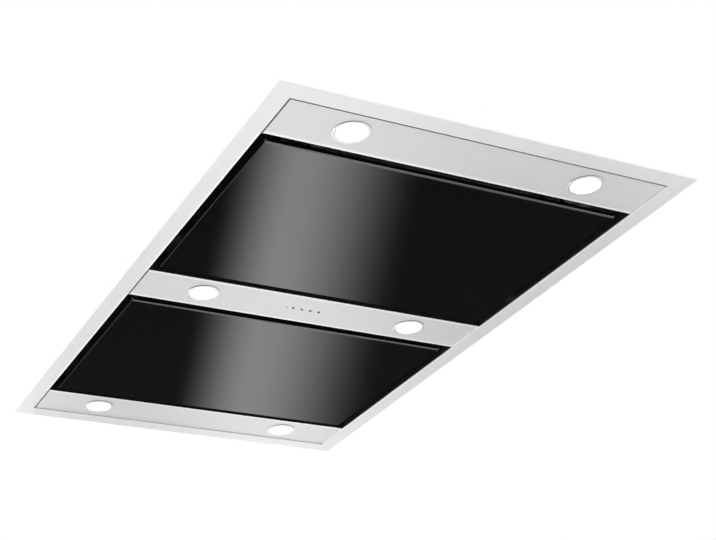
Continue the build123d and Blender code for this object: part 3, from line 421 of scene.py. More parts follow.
# %% Paint the card
sheen_tilt = math.radians(16.0)
sheen_shift = 0.043  # to the left of the line of sight
sheen_rise = 0.27  # from dark to full light
sheen_fall = 0.475  # from full light to dark
sheen_falloff = 1.25
sheen_strength = 2.88
card_glow = 0.04  # black card is not quite black
sheen_top_share = 0.38  # the far panel mirrors more, so the strip gets weaker upwards

card_paint, tree = blank_material("card_black_with_sheen")
spot = split(tree, add_node(tree, "TexCoord").outputs["Object"])
slant = calculate(tree, "MULTIPLY", spot["Y"], math.tan(sheen_tilt))
leaning = calculate(tree, "ADD", calculate(tree, "ADD", spot["X"], slant), sheen_shift)
rise = rescale(tree, leaning, -sheen_rise, 0.0, 0.0, 1.0, "SMOOTHSTEP")
fall = rescale(tree, leaning, 0.0, sheen_fall, 1.0, 0.0, "SMOOTHSTEP")
profile = calculate(tree, "POWER", calculate(tree, "MULTIPLY", rise, fall), sheen_falloff)
upwards = rescale(tree, spot["Y"], -half_y, half_y, 1.0, sheen_top_share)
sheen = calculate(tree, "MULTIPLY", calculate(tree, "MULTIPLY", profile, upwards), sheen_strength)
strength = calculate(tree, "ADD", sheen, card_glow)
put_out(tree, add_node(tree, "Emission", Color=(1, 1, 1, 1), Strength=strength).outputs[0])
card_mesh.materials.append(card_paint)
print("sheen", round(sheen_rise + sheen_fall, 2), "m wide")

# %% [markdown]
# ## A lamp for the steel alone
# The card that darkens the glass also darkens the steel, because both lie in one plane. A real
# photographer lights them in two shots. Blender can link a lamp to chosen objects, so a lamp of
# the card's own shape stands behind it and gives back to the steel what the card takes away.

# %% Light the steel
lamp_distance = 3.6
cover_more = 1.15  # a little wider than the card
lamp_to_right = 0.20
steel_watts = 94
card_shadow = lamp_distance / card_distance * cover_more
steel_place = mirrored_sight * lamp_distance
steel_lamp = soft_lamp("steel_key", steel_place, card_width * card_shadow, steel_watts)
steel_lamp.data.shape = "RECTANGLE"
steel_lamp.data.size_y = card_height * card_shadow
steel_lamp.location += card_side * lamp_to_right
steel_lamp.rotation_quaternion = card_turn @ Quaternion((0, 1, 0), math.pi)
steel_face = bpy.data.collections.new("steel_face")
steel_lamp.light_linking.receiver_collection = steel_face
for name in ("border_frame", "light_strip_front", "control_strip", "light_strip_rear"):
    steel_face.objects.link(nodes[name])

# %% [markdown]
# ## Shared effects
# Several finishes need the same effects: brushing, zinc spangle, the grain of moulded plastic,
# edges that are a little worn, and dust that settles on what faces up. Each is one node group.
# A group gives out only colours, masks, roughness and heights. The shader itself stays in each
# material.

# %% Helpers for groups
def start_group(name, inputs, outputs):
    """A new group: inputs are (label, kind, value), outputs are (label, kind)."""
    group = bpy.data.node_groups.new(name, "ShaderNodeTree")
    for label, kind, value in inputs:
        socket = group.interface.new_socket(label, in_out="INPUT", socket_type="NodeSocket" + kind)
        if value is not None:
            socket.default_value = value
    for label, kind in outputs:
        group.interface.new_socket(label, in_out="OUTPUT", socket_type="NodeSocket" + kind)
    given = group.nodes.new("NodeGroupInput").outputs
    result = group.nodes.new("NodeGroupOutput").inputs
    return group, given, result


def use_group(tree, group, **sockets):
    """Place a group in a tree and give back its outputs."""
    placed = tree.nodes.new("ShaderNodeGroup")
    placed.node_tree = group
    for name, value in sockets.items():
        connect(tree, value, placed.inputs[name.replace("_", " ")])
    return placed.outputs


def shade_colour(tree, colour, factor):
    made = tree.nodes.new("ShaderNodeVectorMath")
    made.operation = "SCALE"
    connect(tree, colour, made.inputs[0])
    connect(tree, factor, made.inputs["Scale"])
    return made.outputs[0]


def noise(tree, position, scale, detail=2.0):
    return add_node(tree, "TexNoise", Vector=position, Scale=scale, Detail=detail).outputs[0]


def blend_values(tree, share, first, second):
    """A share of the first value and the rest of the second."""
    return calculate(tree, "ADD", calculate(tree, "MULTIPLY", first, share),
                     calculate(tree, "MULTIPLY", second, 1 - share))


print("groups can be made")

# %% [markdown]
# ### Groups that make a whole surface
# Brushing, spangle and moulded grain differ in their pattern, but each one does the same with it:
# it swings the tone and the roughness, and gives out a height. The shared part is written once.

# %% Helpers for surface groups
def surface_group(name, inputs):
    """A group that gives out a tone, a roughness and a height."""
    return start_group(name, inputs, [("Tone", "Color"), ("Roughness", "Float"), ("Height", "Float")])


def put_out_surface(tree, given, result, pattern, roughness_swing, height):
    """Swing the given tone and roughness with a pattern round 0.5, and give out a height."""
    swing = calculate(tree, "SUBTRACT", pattern, 0.5)
    factor = calculate(tree, "ADD", 1.0, calculate(tree, "MULTIPLY", swing, given["Contrast"]))
    tree.links.new(shade_colour(tree, given["Tone"], factor), result["Tone"])
    rougher = calculate(tree, "MULTIPLY", swing, roughness_swing)
    tree.links.new(calculate(tree, "ADD", given["Roughness"], rougher), result["Roughness"])
    tree.links.new(height, result["Height"])


print("surface groups can be made")

# %% [markdown]
# ### Brushing
# Brushed steel is scored by an abrasive belt that runs one way. The scores are far longer than
# they are wide, so a noise is squeezed across the belt's way. A second, wider noise gives the
# bands that the belt leaves. Both change the tone a little and the surface height.

# %% Group: brushing
brushing, given, result = surface_group("brushing", [
    ("Position", "Vector", None), ("Stretch", "Vector", (6, 700, 700)),
    ("Tone", "Color", (0.8, 0.8, 0.8, 1)), ("Contrast", "Float", 0.08), ("Roughness", "Float", 0.4)])
scored = scaled_vector(brushing, given["Position"], given["Stretch"])
scores = noise(brushing, scored, 1.0, 3.0)
bands = noise(brushing, scored, 0.06, 1.0)
both = blend_values(brushing, 0.7, scores, bands)
put_out_surface(brushing, given, result, both, 0.22, both)
print("brushing has", len(brushing.nodes), "nodes")

# %% [markdown]
# ### Zinc spangle
# Hot-dip zinc freezes in crystals about a centimetre wide, and each one mirrors the light a little
# differently. A Voronoi texture gives the crystals, and each cell's random colour sets its tone
# and its roughness. A fine noise breaks up the flat cells.

# %% Group: zinc spangle
spangle, given, result = surface_group("zinc_spangle", [
    ("Position", "Vector", None), ("Crystals per metre", "Float", 110.0),
    ("Tone", "Color", (0.6, 0.62, 0.63, 1)), ("Contrast", "Float", 0.22), ("Roughness", "Float", 0.42)])
crystals = add_node(spangle, "TexVoronoi", Vector=given["Position"],
                    Scale=given["Crystals per metre"], Randomness=1.0)
cell = add_node(spangle, "SeparateColor", Color=crystals.outputs["Color"]).outputs[0]
frost = noise(spangle, given["Position"], 700.0, 2.0)
put_out_surface(spangle, given, result, blend_values(spangle, 0.75, cell, frost), 0.12, frost)
print("spangle has", len(spangle.nodes), "nodes")

# %% [markdown]
# ### Moulded grain
# Plastic boxes and foam come out of a mould with a fine, even grain, never a perfect gloss. One
# noise at the grain's scale moves tone, roughness and height together, and a slow one stands for
# the flow of the plastic.

# %% Group: moulded grain
grain, given, result = surface_group("moulded_grain", [
    ("Position", "Vector", None), ("Grains per metre", "Float", 1500.0),
    ("Tone", "Color", (0.5, 0.5, 0.5, 1)), ("Contrast", "Float", 0.12), ("Roughness", "Float", 0.5)])
fine = noise(grain, given["Position"], given["Grains per metre"], 1.0)
slow = noise(grain, given["Position"], 14.0, 2.0)
put_out_surface(grain, given, result, blend_values(grain, 0.5, fine, slow), 0.25, fine)
print("grain has", len(grain.nodes), "nodes")

# %% [markdown]
# ### Worn edges
# Corners catch hands and tools first, so they are a touch brighter than flats. The Bevel node
# rounds the normal near a corner, and where it leans away from the true normal there is an edge.

# %% Group: worn edges
worn_edges, given, result = start_group(
    "worn_edges", [("Width", "Float", 1.2 * mm)], [("Mask", "Float")])
rounded = add_node(worn_edges, "Bevel", Radius=given["Width"])
rounded.samples = 4
true_normal = add_node(worn_edges, "NewGeometry").outputs["Normal"]
lean = worn_edges.nodes.new("ShaderNodeVectorMath")
lean.operation = "DOT_PRODUCT"
worn_edges.links.new(rounded.outputs["Normal"], lean.inputs[0])
worn_edges.links.new(true_normal, lean.inputs[1])
flat, corner = 0.995, 0.86  # how far the two normals agree on a flat and at a corner
worn_edges.links.new(rescale(worn_edges, lean.outputs["Value"], flat, corner, 0.0, 1.0), result["Mask"])
print("worn edges has", len(worn_edges.nodes), "nodes")

# %% [markdown]
# ### Settled dust
# Above the ceiling nobody wipes. Dust lies on what faces up, in soft patches. The mask is the
# upward share of the normal times a slow noise.

# %% Group: settled dust
settled_dust, given, result = start_group(
    "settled_dust", [("Position", "Vector", None), ("Amount", "Float", 0.3)], [("Mask", "Float")])
upward = split(settled_dust, add_node(settled_dust, "NewGeometry").outputs["Normal"])["Z"]
clouds = noise(settled_dust, given["Position"], 9.0, 5.0)
patches = rescale(settled_dust, clouds, 0.35, 0.7, 0.3, 1.0)
level = rescale(settled_dust, upward, 0.5, 1.0, 0.0, 1.0)
lying = calculate(settled_dust, "MULTIPLY", level, patches)
settled_dust.links.new(calculate(settled_dust, "MULTIPLY", lying, given["Amount"]), result["Mask"])
print("settled dust has", len(settled_dust.nodes), "nodes")

# %% [markdown]
# ### Painted shade in the slots
# Every slot is painted black right up to the steel edge as painted shade: above the fold the steel
# turns near-black, so that the light face seems to float. The painted shade starts at the fold, so
# height above the face is all the mask needs.

# %% Group: painted shade in the slots
slot_painted_shade, given, result = start_group("slot_painted_shade", [
    ("Position", "Vector", None), ("Start", "Float", 2.0 * mm), ("Spread", "Float", 0.6 * mm)],
    [("Mask", "Float")])
height = split(slot_painted_shade, given["Position"])["Z"]
above = calculate(slot_painted_shade, "SUBTRACT", height, given["Start"])
speckle = calculate(slot_painted_shade, "SUBTRACT", noise(slot_painted_shade, given["Position"], 300.0), 0.5)
ragged = calculate(slot_painted_shade, "MULTIPLY", speckle, 0.6 * mm)
ragged_height = calculate(slot_painted_shade, "ADD", above, ragged)
share = calculate(slot_painted_shade, "DIVIDE", ragged_height, given["Spread"])
slot_painted_shade.links.new(rescale(slot_painted_shade, share, 0.0, 1.0, 0.0, 1.0), result["Mask"])
print("slot lacquer has", len(slot_painted_shade.nodes), "nodes")

# %% [markdown]
# ## Finishes
# Each finish is one short function or cell. They all start the same way: a Principled shader and
# the position on the object in metres, so that a pattern has its real size on every piece.

# %% Start a finish
def start_finish(name):
    """A new material: gives the material, its tree, its shader and the position on the object."""
    material, tree = blank_material(name)
    shader = tree.nodes.new("ShaderNodeBsdfPrincipled")
    put_out(tree, shader.outputs["BSDF"])
    position = add_node(tree, "TexCoord").outputs["Object"]
    return material, tree, shader, position


def raise_bumps(tree, shader, height, depth):
    """Feed a height into the shader's normal; depth is in metres."""
    bump = add_node(tree, "Bump", Height=height, Strength=1.0, Distance=depth)
    tree.links.new(bump.outputs["Normal"], shader.inputs["Normal"])


print("finishes can be made")

# %% [markdown]
# ### Painted highlights on the folds
# The long folds beside the slots are painted lighter as a painted highlight, where a rounded fold
# would catch the light. They could be painted by hand, but their places are known: distance from
# those folds, worked out from the strips' own boxes, makes the mask.

# %% Masks for the painted fold highlights
border_highlight_width = 4.0 * mm
strip_highlight_width = 7.0 * mm
window_x, window_y = 319 * mm, 569 * mm  # half the window inside the border
strip_folds = [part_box("control_strip")[1].y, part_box("light_strip_rear")[0].y]  # the same to the front


def near_place(tree, distance, place, width):
    """White at a place, fading to black at a fold's width from it."""
    away = calculate(tree, "ABSOLUTE", calculate(tree, "SUBTRACT", distance, place))
    return rescale(tree, away, width * 0.4, width, 1.0, 0.0)


def strip_fold_highlight(tree, position):
    from_middle = calculate(tree, "ABSOLUTE", split(tree, position)["Y"])
    folds = [near_place(tree, from_middle, place, strip_highlight_width) for place in strip_folds]
    return calculate(tree, "MAXIMUM", *folds)


def border_fold_highlight(tree, position):
    spot = split(tree, position)
    beside = near_place(tree, calculate(tree, "ABSOLUTE", spot["X"]), window_x, border_highlight_width)
    from_middle = calculate(tree, "ABSOLUTE", spot["Y"])
    past_control_strip = calculate(tree, "GREATER_THAN", from_middle, strip_folds[0])
    before_light_strip = calculate(tree, "LESS_THAN", from_middle, strip_folds[1])
    bay = calculate(tree, "MULTIPLY", past_control_strip, before_light_strip)
    return calculate(tree, "MULTIPLY", beside, bay)


print("folds at", [round(place / mm) for place in strip_folds], "mm from the middle")

# %% [markdown]
# ### Brushed steel
# The border is brushed along its length, and each strip along its own. Real brushed steel mirrors
# the room as a broad soft glow, so it is all metal with a middling roughness, and its tone is a
# light neutral grey. In the slots the metal is painted near-black and matt as painted shade, and
# the corners and the folds beside the slots are painted white as painted highlight.

# %% Finish: brushed steel
# Near-black painted shade for the inside of the slots.
slot_shade_tone = (0.022, 0.022, 0.022, 1)


def brushed_steel(name, stretch, tone, shade_start, highlight_mask):
    material, tree, shader, position = start_finish(name)
    brushed = use_group(tree, brushing, Position=position, Stretch=stretch, Tone=tone,
                        Contrast=0.10, Roughness=0.46)
    edge = use_group(tree, worn_edges, Width=1.6 * mm)["Mask"]
    # Painted shade: above the start height the steel turns near-black and loses its metal.
    slot_shade = use_group(tree, slot_painted_shade, Position=position, Start=shade_start,
                          Spread=0.4 * mm)["Mask"]
    # Painted highlight: the folds beside the slots, and the corners partly as wear, are mixed towards
    # white.
    edge = calculate(tree, "MAXIMUM", edge, highlight_mask(tree, position))
    steel = mix_colours(tree, edge, brushed["Tone"], (1.0, 1.0, 1.0, 1))
    tree.links.new(mix_colours(tree, slot_shade, steel, slot_shade_tone), shader.inputs["Base Color"])
    bare = calculate(tree, "SUBTRACT", 1.0, slot_shade)
    roughness = calculate(tree, "ADD", calculate(tree, "MULTIPLY", brushed["Roughness"], bare), 0.06)
    tree.links.new(roughness, shader.inputs["Roughness"])
    tree.links.new(bare, shader.inputs["Metallic"])
    raise_bumps(tree, shader, brushed["Height"], 0.02 * mm)
    return material


strip_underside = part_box("control_strip")[0].z
# The painted shade starts this far above the strips' underside.
unshaded_fold = 0.8 * mm  # how far up the strips' folds stay bare
steel_along_y = brushed_steel("brushed_steel_border", (700, 6, 700), (0.80, 0.80, 0.80, 1),
                              border_sheet, border_fold_highlight)
steel_along_x = brushed_steel("brushed_steel_strip", (6, 700, 700), (0.79, 0.79, 0.79, 1),
                              strip_underside + unshaded_fold, strip_fold_highlight)
print(steel_along_y.name, "and", steel_along_x.name)

# %% [markdown]
# ### Galvanised sheet
# The casing and the fan's scroll are plain zinc-coated sheet. It is metal, but dull, with its
# crystals just visible, and with dust where it faces up.

# %% Finish: galvanised sheet
def galvanised(name, dust_amount):
    material, tree, shader, position = start_finish(name)
    zinc = use_group(tree, spangle, Position=position, Crystals_per_metre=130.0,
                     Tone=(0.43, 0.445, 0.455, 1), Contrast=0.26, Roughness=0.42)
    edge = use_group(tree, worn_edges, Width=1.0 * mm)["Mask"]
    bright_edge = calculate(tree, "MULTIPLY", edge, 0.35)
    cleaned = mix_colours(tree, bright_edge, zinc["Tone"], (0.66, 0.67, 0.68, 1))
    dust = use_group(tree, settled_dust, Position=position, Amount=dust_amount)["Mask"]
    dusty = mix_colours(tree, dust, cleaned, (0.40, 0.385, 0.36, 1))
    tree.links.new(dusty, shader.inputs["Base Color"])
    tree.links.new(rescale(tree, dust, 0.0, 1.0, 0.92, 0.1), shader.inputs["Metallic"])
    roughness = calculate(tree, "ADD", zinc["Roughness"], calculate(tree, "MULTIPLY", dust, 0.4))
    tree.links.new(roughness, shader.inputs["Roughness"])
    raise_bumps(tree, shader, zinc["Height"], 0.03 * mm)
    return material


casing_sheet = galvanised("galvanised_casing", 0.45)
inner_sheet = galvanised("galvanised_inside", 0.05)
print(casing_sheet.name, "and", inner_sheet.name)

# %% [markdown]
# ### Black glass
# The panels are clear glass painted black behind, and the two long edges have a ground bevel that
# shines grey. Face and bevel are one solid, so the shader finds the bevel by its normal, which
# leans half down and half along Y. A narrow band of the face beside the near bevel is painted
# lighter as a painted highlight. Faint wiping marks change the roughness.

# %% Finish: black glass
black_glass, tree, shader, position = start_finish("black_glass")
normal = split(tree, add_node(tree, "NewGeometry").outputs["True Normal"])
facing_x, facing_y, facing_z = (calculate(tree, "ABSOLUTE", part) for part in normal)
steep = calculate(tree, "MULTIPLY", facing_z, facing_y)
bevel_share = rescale(tree, steep, 0.2, 0.4, 0.0, 1.0)  # 0.5 on a bevel at 45 degrees
along = split(tree, position)["Y"]
# Painted highlight: a lighter band on the face beside each panel's near edge only.
highlight_band_width = 6.0 * mm  # the lighter band beside the near bevel
highlight_bands = []
for name in ("glass_panel_front", "glass_panel_rear"):
    from_edge = calculate(tree, "SUBTRACT", along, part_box(name)[0].y)
    highlight_band = rescale(tree, from_edge, highlight_band_width * 0.5, highlight_band_width, 0.7, 0.0)
    highlight_bands.append(calculate(tree, "MULTIPLY", highlight_band, calculate(tree, "GREATER_THAN", from_edge, 0.0)))
bevel_and_highlight_share = calculate(tree, "MAXIMUM", bevel_share, calculate(tree, "MAXIMUM", *highlight_bands))
side_share = calculate(tree, "MULTIPLY", facing_x, 0.45)
painted_back, bevel_and_highlight_grey = (0.0035, 0.0035, 0.0038, 1), (0.15, 0.155, 0.155, 1)
glass_tone = mix_colours(tree, bevel_and_highlight_share, painted_back, bevel_and_highlight_grey)
tree.links.new(glass_tone, shader.inputs["Base Color"])
wiping = noise(tree, scaled_vector(tree, position, (9, 5, 9)), 1.0, 6.0)
wiped = rescale(tree, wiping, 0.35, 0.75, 0.025, 0.06)
blurred = calculate(tree, "ADD", calculate(tree, "MULTIPLY", bevel_and_highlight_share, 0.35), side_share)
tree.links.new(calculate(tree, "ADD", wiped, blurred), shader.inputs["Roughness"])
side_gloss = rescale(tree, facing_x, 0.3, 0.7, 0.5, 0.08)
tree.links.new(side_gloss, shader.inputs["Specular IOR Level"])
shader.inputs["IOR"].default_value = 1.5
print(black_glass.name)

# %% [markdown]
# ### Plastics and foam
# Boxes, buttons, cords and the ceiling seal are all moulded. One function makes each of them from
# a tone, a grain and a roughness, with worn edges and a share of dust. The near-black on the panel
# carriers and filter decks is painted shade that keeps the slots dark; it has the same fine, even
# skin as the lacquer on the board, so both come from the same function.

# %% Finish: moulded plastic
def moulded(name, tone, grains, roughness, edge_tone, depth=0.03 * mm, dust_amount=0.0):
    material, tree, shader, position = start_finish(name)
    surface = use_group(tree, grain, Position=position, Grains_per_metre=grains, Tone=tone,
                        Contrast=0.25, Roughness=roughness)
    edge = use_group(tree, worn_edges, Width=0.8 * mm)["Mask"]
    worn = calculate(tree, "MULTIPLY", edge, 0.45)
    coloured = mix_colours(tree, worn, surface["Tone"], edge_tone)
    dust = use_group(tree, settled_dust, Position=position, Amount=dust_amount)["Mask"]
    dusty = mix_colours(tree, dust, coloured, (0.50, 0.48, 0.45, 1))
    tree.links.new(dusty, shader.inputs["Base Color"])
    tree.links.new(surface["Roughness"], shader.inputs["Roughness"])
    raise_bumps(tree, shader, surface["Height"], depth)
    return material


dark_edge = (0.05, 0.05, 0.05, 1)
fine_grain = 0.01 * mm
grey_plastic = moulded("moulded_grey", (0.42, 0.43, 0.44, 1), 1400, 0.5, (0.6, 0.6, 0.6, 1),
                       dust_amount=0.4)
black_plastic = moulded("moulded_black", (0.022, 0.022, 0.024, 1), 1600, 0.42,
                        (0.09, 0.09, 0.09, 1), dust_amount=0.12)
button_plastic = moulded("button_black", (0.018, 0.018, 0.02, 1), 2600, 0.35, dark_edge, fine_grain)
foam = moulded("seal_foam", (0.03, 0.03, 0.032, 1), 900, 0.85, (0.06, 0.06, 0.06, 1), 0.3 * mm)
rubber_and_gasket_shadow = moulded("rubber_and_gasket_shadow", (0.02, 0.02, 0.02, 1), 2000, 0.6, dark_edge)
# Dark grey for the cords that are painted shadow at the strips' joints.
shadow_cord_grey = moulded("shadow_cord_grey", (0.10, 0.10, 0.10, 1), 2000, 0.6, (0.16, 0.16, 0.16, 1))
# Painted shade: near-black for the panel carriers and filter decks, so the slots look dark.
slot_shade_sheet = moulded("black_slot_shade_sheet", (0.03, 0.03, 0.031, 1), 1100, 0.22,
                        (0.07, 0.07, 0.07, 1), fine_grain, 0.05)
board_lacquer = moulded("board_lacquer", (0.012, 0.13, 0.06, 1), 500, 0.3, (0.35, 0.36, 0.25, 1),
                        fine_grain)
light_guide = moulded("light_pipe", (0.06, 0.06, 0.065, 1), 800, 0.2, (0.2, 0.2, 0.2, 1), fine_grain)
print("nine moulded finishes")

# %% [markdown]
# ### Other metals
# Screws, pins and brackets are zinc plated, springs are bright, the lamp bodies and filters are
# aluminium. They share the grain effect, all in metal, and differ in tone and roughness.

# %% Finish: plain metals
def plain_metal(name, tone, roughness, edge_tone, grains=900.0, contrast=0.2):
    material, tree, shader, position = start_finish(name)
    surface = use_group(tree, grain, Position=position, Grains_per_metre=grains, Tone=tone,
                        Contrast=contrast, Roughness=roughness)
    edge = use_group(tree, worn_edges, Width=0.6 * mm)["Mask"]
    bright_edge = calculate(tree, "MULTIPLY", edge, 0.7)
    bare = mix_colours(tree, bright_edge, surface["Tone"], edge_tone)
    tree.links.new(bare, shader.inputs["Base Color"])
    tree.links.new(surface["Roughness"], shader.inputs["Roughness"])
    shader.inputs["Metallic"].default_value = 1.0
    raise_bumps(tree, shader, surface["Height"], fine_grain)
    return material


def grey(tone):
    return tone, tone, tone, 1


plated = plain_metal("plated_steel", (0.66, 0.66, 0.62, 1), 0.3, (0.9, 0.9, 0.88, 1))
spring_steel = plain_metal("spring_steel", (0.50, 0.50, 0.51, 1), 0.25, grey(0.8))
satin_ring = plain_metal("lamp_trim", grey(0.93), 0.4, grey(1.0), 2500, 0.1)
cast_metal = plain_metal("cast_aluminium", (0.50, 0.51, 0.52, 1), 0.5, grey(0.8), 1200, 0.4)
filter_metal = plain_metal("anodised_filter", (0.66, 0.67, 0.68, 1), 0.36, grey(0.9), 700, 0.15)
strand_metal = plain_metal("filter_mesh", (0.58, 0.59, 0.60, 1), 0.33, grey(0.85), 400, 0.3)
bracket_steel = plain_metal("bracket_steel", (0.36, 0.36, 0.35, 1), 0.42, (0.6, 0.6, 0.58, 1), 600, 0.3)
black_zinc = plain_metal("black_zinc", (0.05, 0.05, 0.052, 1), 0.4, grey(0.16))
core_metal = plain_metal("core_steel", (0.33, 0.33, 0.34, 1), 0.5, grey(0.5), 2000, 0.5)
motor_paint = moulded("motor_paint", (0.05, 0.05, 0.055, 1), 700, 0.4, (0.35, 0.35, 0.36, 1), 0.08 * mm)
print("nine metals and the motor's paint")

# %% [markdown]
# ### The lamps' light
# Each lamp has a frosted cover over its light source, lit and brightest in the middle. The
# distance from the lamp's own axis sets the brightness, and the covers are turned pieces with
# their origin on that axis.

# %% Finish: lit cover
lit_cover, tree, shader, position = start_finish("lamp_lens")
from_axis = add_node(tree, "VectorMath")
from_axis.operation = "LENGTH"
tree.links.new(scaled_vector(tree, position, (1, 1, 0)), from_axis.inputs[0])
brightness = rescale(tree, from_axis.outputs["Value"], 11 * mm, 23 * mm, 1.0, 0.55)
frosting = rescale(tree, noise(tree, position, 900.0, 2.0), 0.3, 0.7, 0.96, 1.0)
glow_tone = shade_colour(tree, (1.0, 1.0, 1.0), calculate(tree, "MULTIPLY", brightness, frosting))
tree.links.new(glow_tone, shader.inputs["Emission Color"])
tree.links.new(shade_colour(tree, (0.92, 0.92, 0.92), frosting), shader.inputs["Base Color"])
shader.inputs["Emission Strength"].default_value = 3.0
shader.inputs["Roughness"].default_value = 0.35
print(lit_cover.name)

# %% [markdown]
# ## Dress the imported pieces
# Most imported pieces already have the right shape, so they only get a finish in their material
# slot. A short list says which finish each one takes.

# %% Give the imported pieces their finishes
wardrobe = {
    steel_along_y: ["border_frame"],
    steel_along_x: ["light_strip_front", "light_strip_rear", "control_strip"],
    foam: ["ceiling_seal"],
    casing_sheet: ["casing_side_left", "casing_side_right", "casing_end_front", "casing_end_rear",
                   "casing_roof"],
    inner_sheet: ["scroll_wall", "scroll_side_front", "scroll_side_rear", "outlet_transition"],
    slot_shade_sheet: ["panel_carrier_front", "panel_carrier_rear", "filter_deck_front",
                    "filter_deck_rear"],
    black_glass: ["glass_panel_front", "glass_panel_rear"],
    bracket_steel: ["hanging_brackets"],
    plated: ["strip_screws", "fan_straps", "motor_bracket", "motor_bearings"],
    black_zinc: ["hinge_brackets", "hinge_pins"],
    spring_steel: ["filter_hooks", "lamp_clips", "flap_pin"],
    filter_metal: ["filter_frame_front", "filter_frame_rear"],
    cast_metal: ["lamp_bodies"],
    core_metal: ["motor_stator", "motor_rotor"],
    motor_paint: ["motor_shell"],
    black_plastic: ["catch_magnets", "key_switches", "impeller", "filter_latch_front",
                    "filter_latch_rear"],
    button_plastic: ["button_1", "button_2", "button_3", "button_4"],
    light_guide: ["indicator_pipe"],
    board_lacquer: ["control_board"],
    grey_plastic: ["board_tray", "damper_flap_left", "damper_flap_right", "terminal_box",
                   "terminal_cover", "lamp_driver", "fan_control_box"],
}
for finish, names in wardrobe.items():
    for name in names:
        nodes[name].data.materials.clear()
        nodes[name].data.materials.append(finish)
print(sum(len(names) for names in wardrobe.values()), "packed pieces dressed")

# %% [markdown]
# ## Lamps
# A recessed spot shows three pieces: a satin ring pressed against the strip, a thin dark gasket
# behind the ring that is also painted shadow for the gap between ring and strip, and the frosted
# cover with fine moulded rings. All three are turned, and the packed lamps give their heights.

# %% Turn the lamps
ring_low, ring_high = (corner.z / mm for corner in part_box("lamp_bezels"))
cover_low, cover_high = (corner.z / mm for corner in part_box("lamp_lenses"))
strip_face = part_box("control_strip")[0].z / mm
ring_corner, cover_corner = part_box("lamp_bezels")[1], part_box("lamp_lenses")[1]
cover_radius = 23.2
ring_radius = cover_radius + (ring_corner.x - cover_corner.x) / mm
ring_stands = strip_face - ring_low
gasket_shadow_low = strip_face - 0.62 * ring_stands
around = 96
print("ring stands", round(ring_stands, 2), "mm proud")

ring_mesh = lathe("lamp_ring", [
    (ring_radius, gasket_shadow_low), (ring_radius, ring_low + 0.45),
    (ring_radius - 0.3, ring_low + 0.12), (ring_radius - 1.0, ring_low),
    (ring_radius - 3.6, ring_low), (ring_radius - 4.6, ring_low + 0.2),
    (cover_radius - 0.5, cover_low + 0.1), (cover_radius - 0.5, cover_low + 0.6),
    (cover_radius + 0.1, cover_low + 0.6), (cover_radius + 0.1, ring_high),
    (cover_radius + 1.1, ring_high), (cover_radius + 1.1, gasket_shadow_low)], around, ring=True)
# The dark gasket is partly a real gasket and partly painted shadow for the gap round the ring.
gasket_shadow_mesh = lathe("lamp_gasket_shadow", [
    (cover_radius + 1.2, gasket_shadow_low), (ring_radius - 0.2, gasket_shadow_low),
    (ring_radius - 0.1, strip_face), (cover_radius + 1.2, strip_face)], around, ring=True)

cover_rings = 14
cover_profile = [(0, cover_low + 0.35)]
for n in range(1, cover_rings):
    radius = cover_radius * n / cover_rings
    cover_profile += [(radius - 0.5, cover_low + 0.35), (radius, cover_low + 0.18)]
cover_profile += [(cover_radius - 0.4, cover_low + 0.4), (cover_radius, cover_low + 0.6),
                  (cover_radius, cover_high), (0, cover_high)]
cover_mesh = lathe("lamp_cover", cover_profile, around)
print("cover with", cover_rings, "rings,", len(cover_mesh.polygons), "faces")

# %% [markdown]
# ### Lamps in place
# All six lamps share the same three meshes, so a change to one profile changes every lamp. The box
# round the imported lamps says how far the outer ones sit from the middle.

# %% Set the lamps in place
lamp_x = cover_corner.x - cover_radius * mm
lamp_y = cover_corner.y - cover_radius * mm
lamp_pieces = 0
for row, y in zip(("front", "middle", "rear"), (-lamp_y, 0.0, lamp_y)):
    for side, x in (("left", -lamp_x), ("right", lamp_x)):
        place = (x, y, 0)
        ring = link_piece(f"lamp_ring_{row}_{side}", ring_mesh, satin_ring, place)
        steel_face.objects.link(ring)
        link_piece(f"lamp_gasket_shadow_{row}_{side}", gasket_shadow_mesh, rubber_and_gasket_shadow, place)
        cover = link_piece(f"lamp_cover_{row}_{side}", cover_mesh, lit_cover, place)
        lamp_pieces += 3
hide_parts("lamp_bezels")
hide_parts("lamp_lenses")
print(lamp_pieces, "lamp pieces, rings", round(2 * ring_radius), "mm across")

# %% [markdown]
# ## Painted shadow round the strips
# Each strip sits inside the border with a little play. A dark grey cord at the front and left
# joints is painted shadow, standing for the shade that the step from border to strip throws there;
# the right and rear joints get none. A cord is a long bar with a softened lower edge.

# %% Lay the painted shadow cords
def cord_bar(name, low, high, soften=0.25 * mm):
    """A bar between two corners, its lower long edges cut at 45 degrees."""
    form = bmesh.new()
    bmesh.ops.create_cube(form, size=1.0)
    size = [top - bottom for top, bottom in zip(high, low)]
    for vertex in form.verts:
        vertex.co = Vector([bottom + side * (c + 0.5) for bottom, side, c in zip(low, size, vertex.co)])
    middle = (low[2] + high[2]) / 2
    lower = [edge for edge in form.edges if all(end.co.z < middle for end in edge.verts)]
    cut = min(soften, 0.3 * min(size))
    bmesh.ops.bevel(form, geom=lower, offset=cut, segments=2, affect="EDGES")
    return finish_mesh(name, form, 60)


shadow_cord_width = 3.0 * mm
shadow_cord_low, shadow_cord_high = 0.1 * mm, strip_underside
shadow_cord_bars = {}
for strip in ("light_strip_front", "control_strip", "light_strip_rear"):
    strip_low, strip_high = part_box(strip)
    shadow_cord_bars[strip + "_joint"] = ((-window_x, strip_low.y), (shadow_cord_width - window_x, strip_high.y))
shadow_cord_bars["front_joint"] = ((-window_x, -window_y), (window_x, shadow_cord_width - window_y))
for name, (near, far) in shadow_cord_bars.items():
    cord = cord_bar(name, (*near, shadow_cord_low), (*far, shadow_cord_high))
    link_piece(name, cord, shadow_cord_grey)
print(len(shadow_cord_bars), "joint cords")

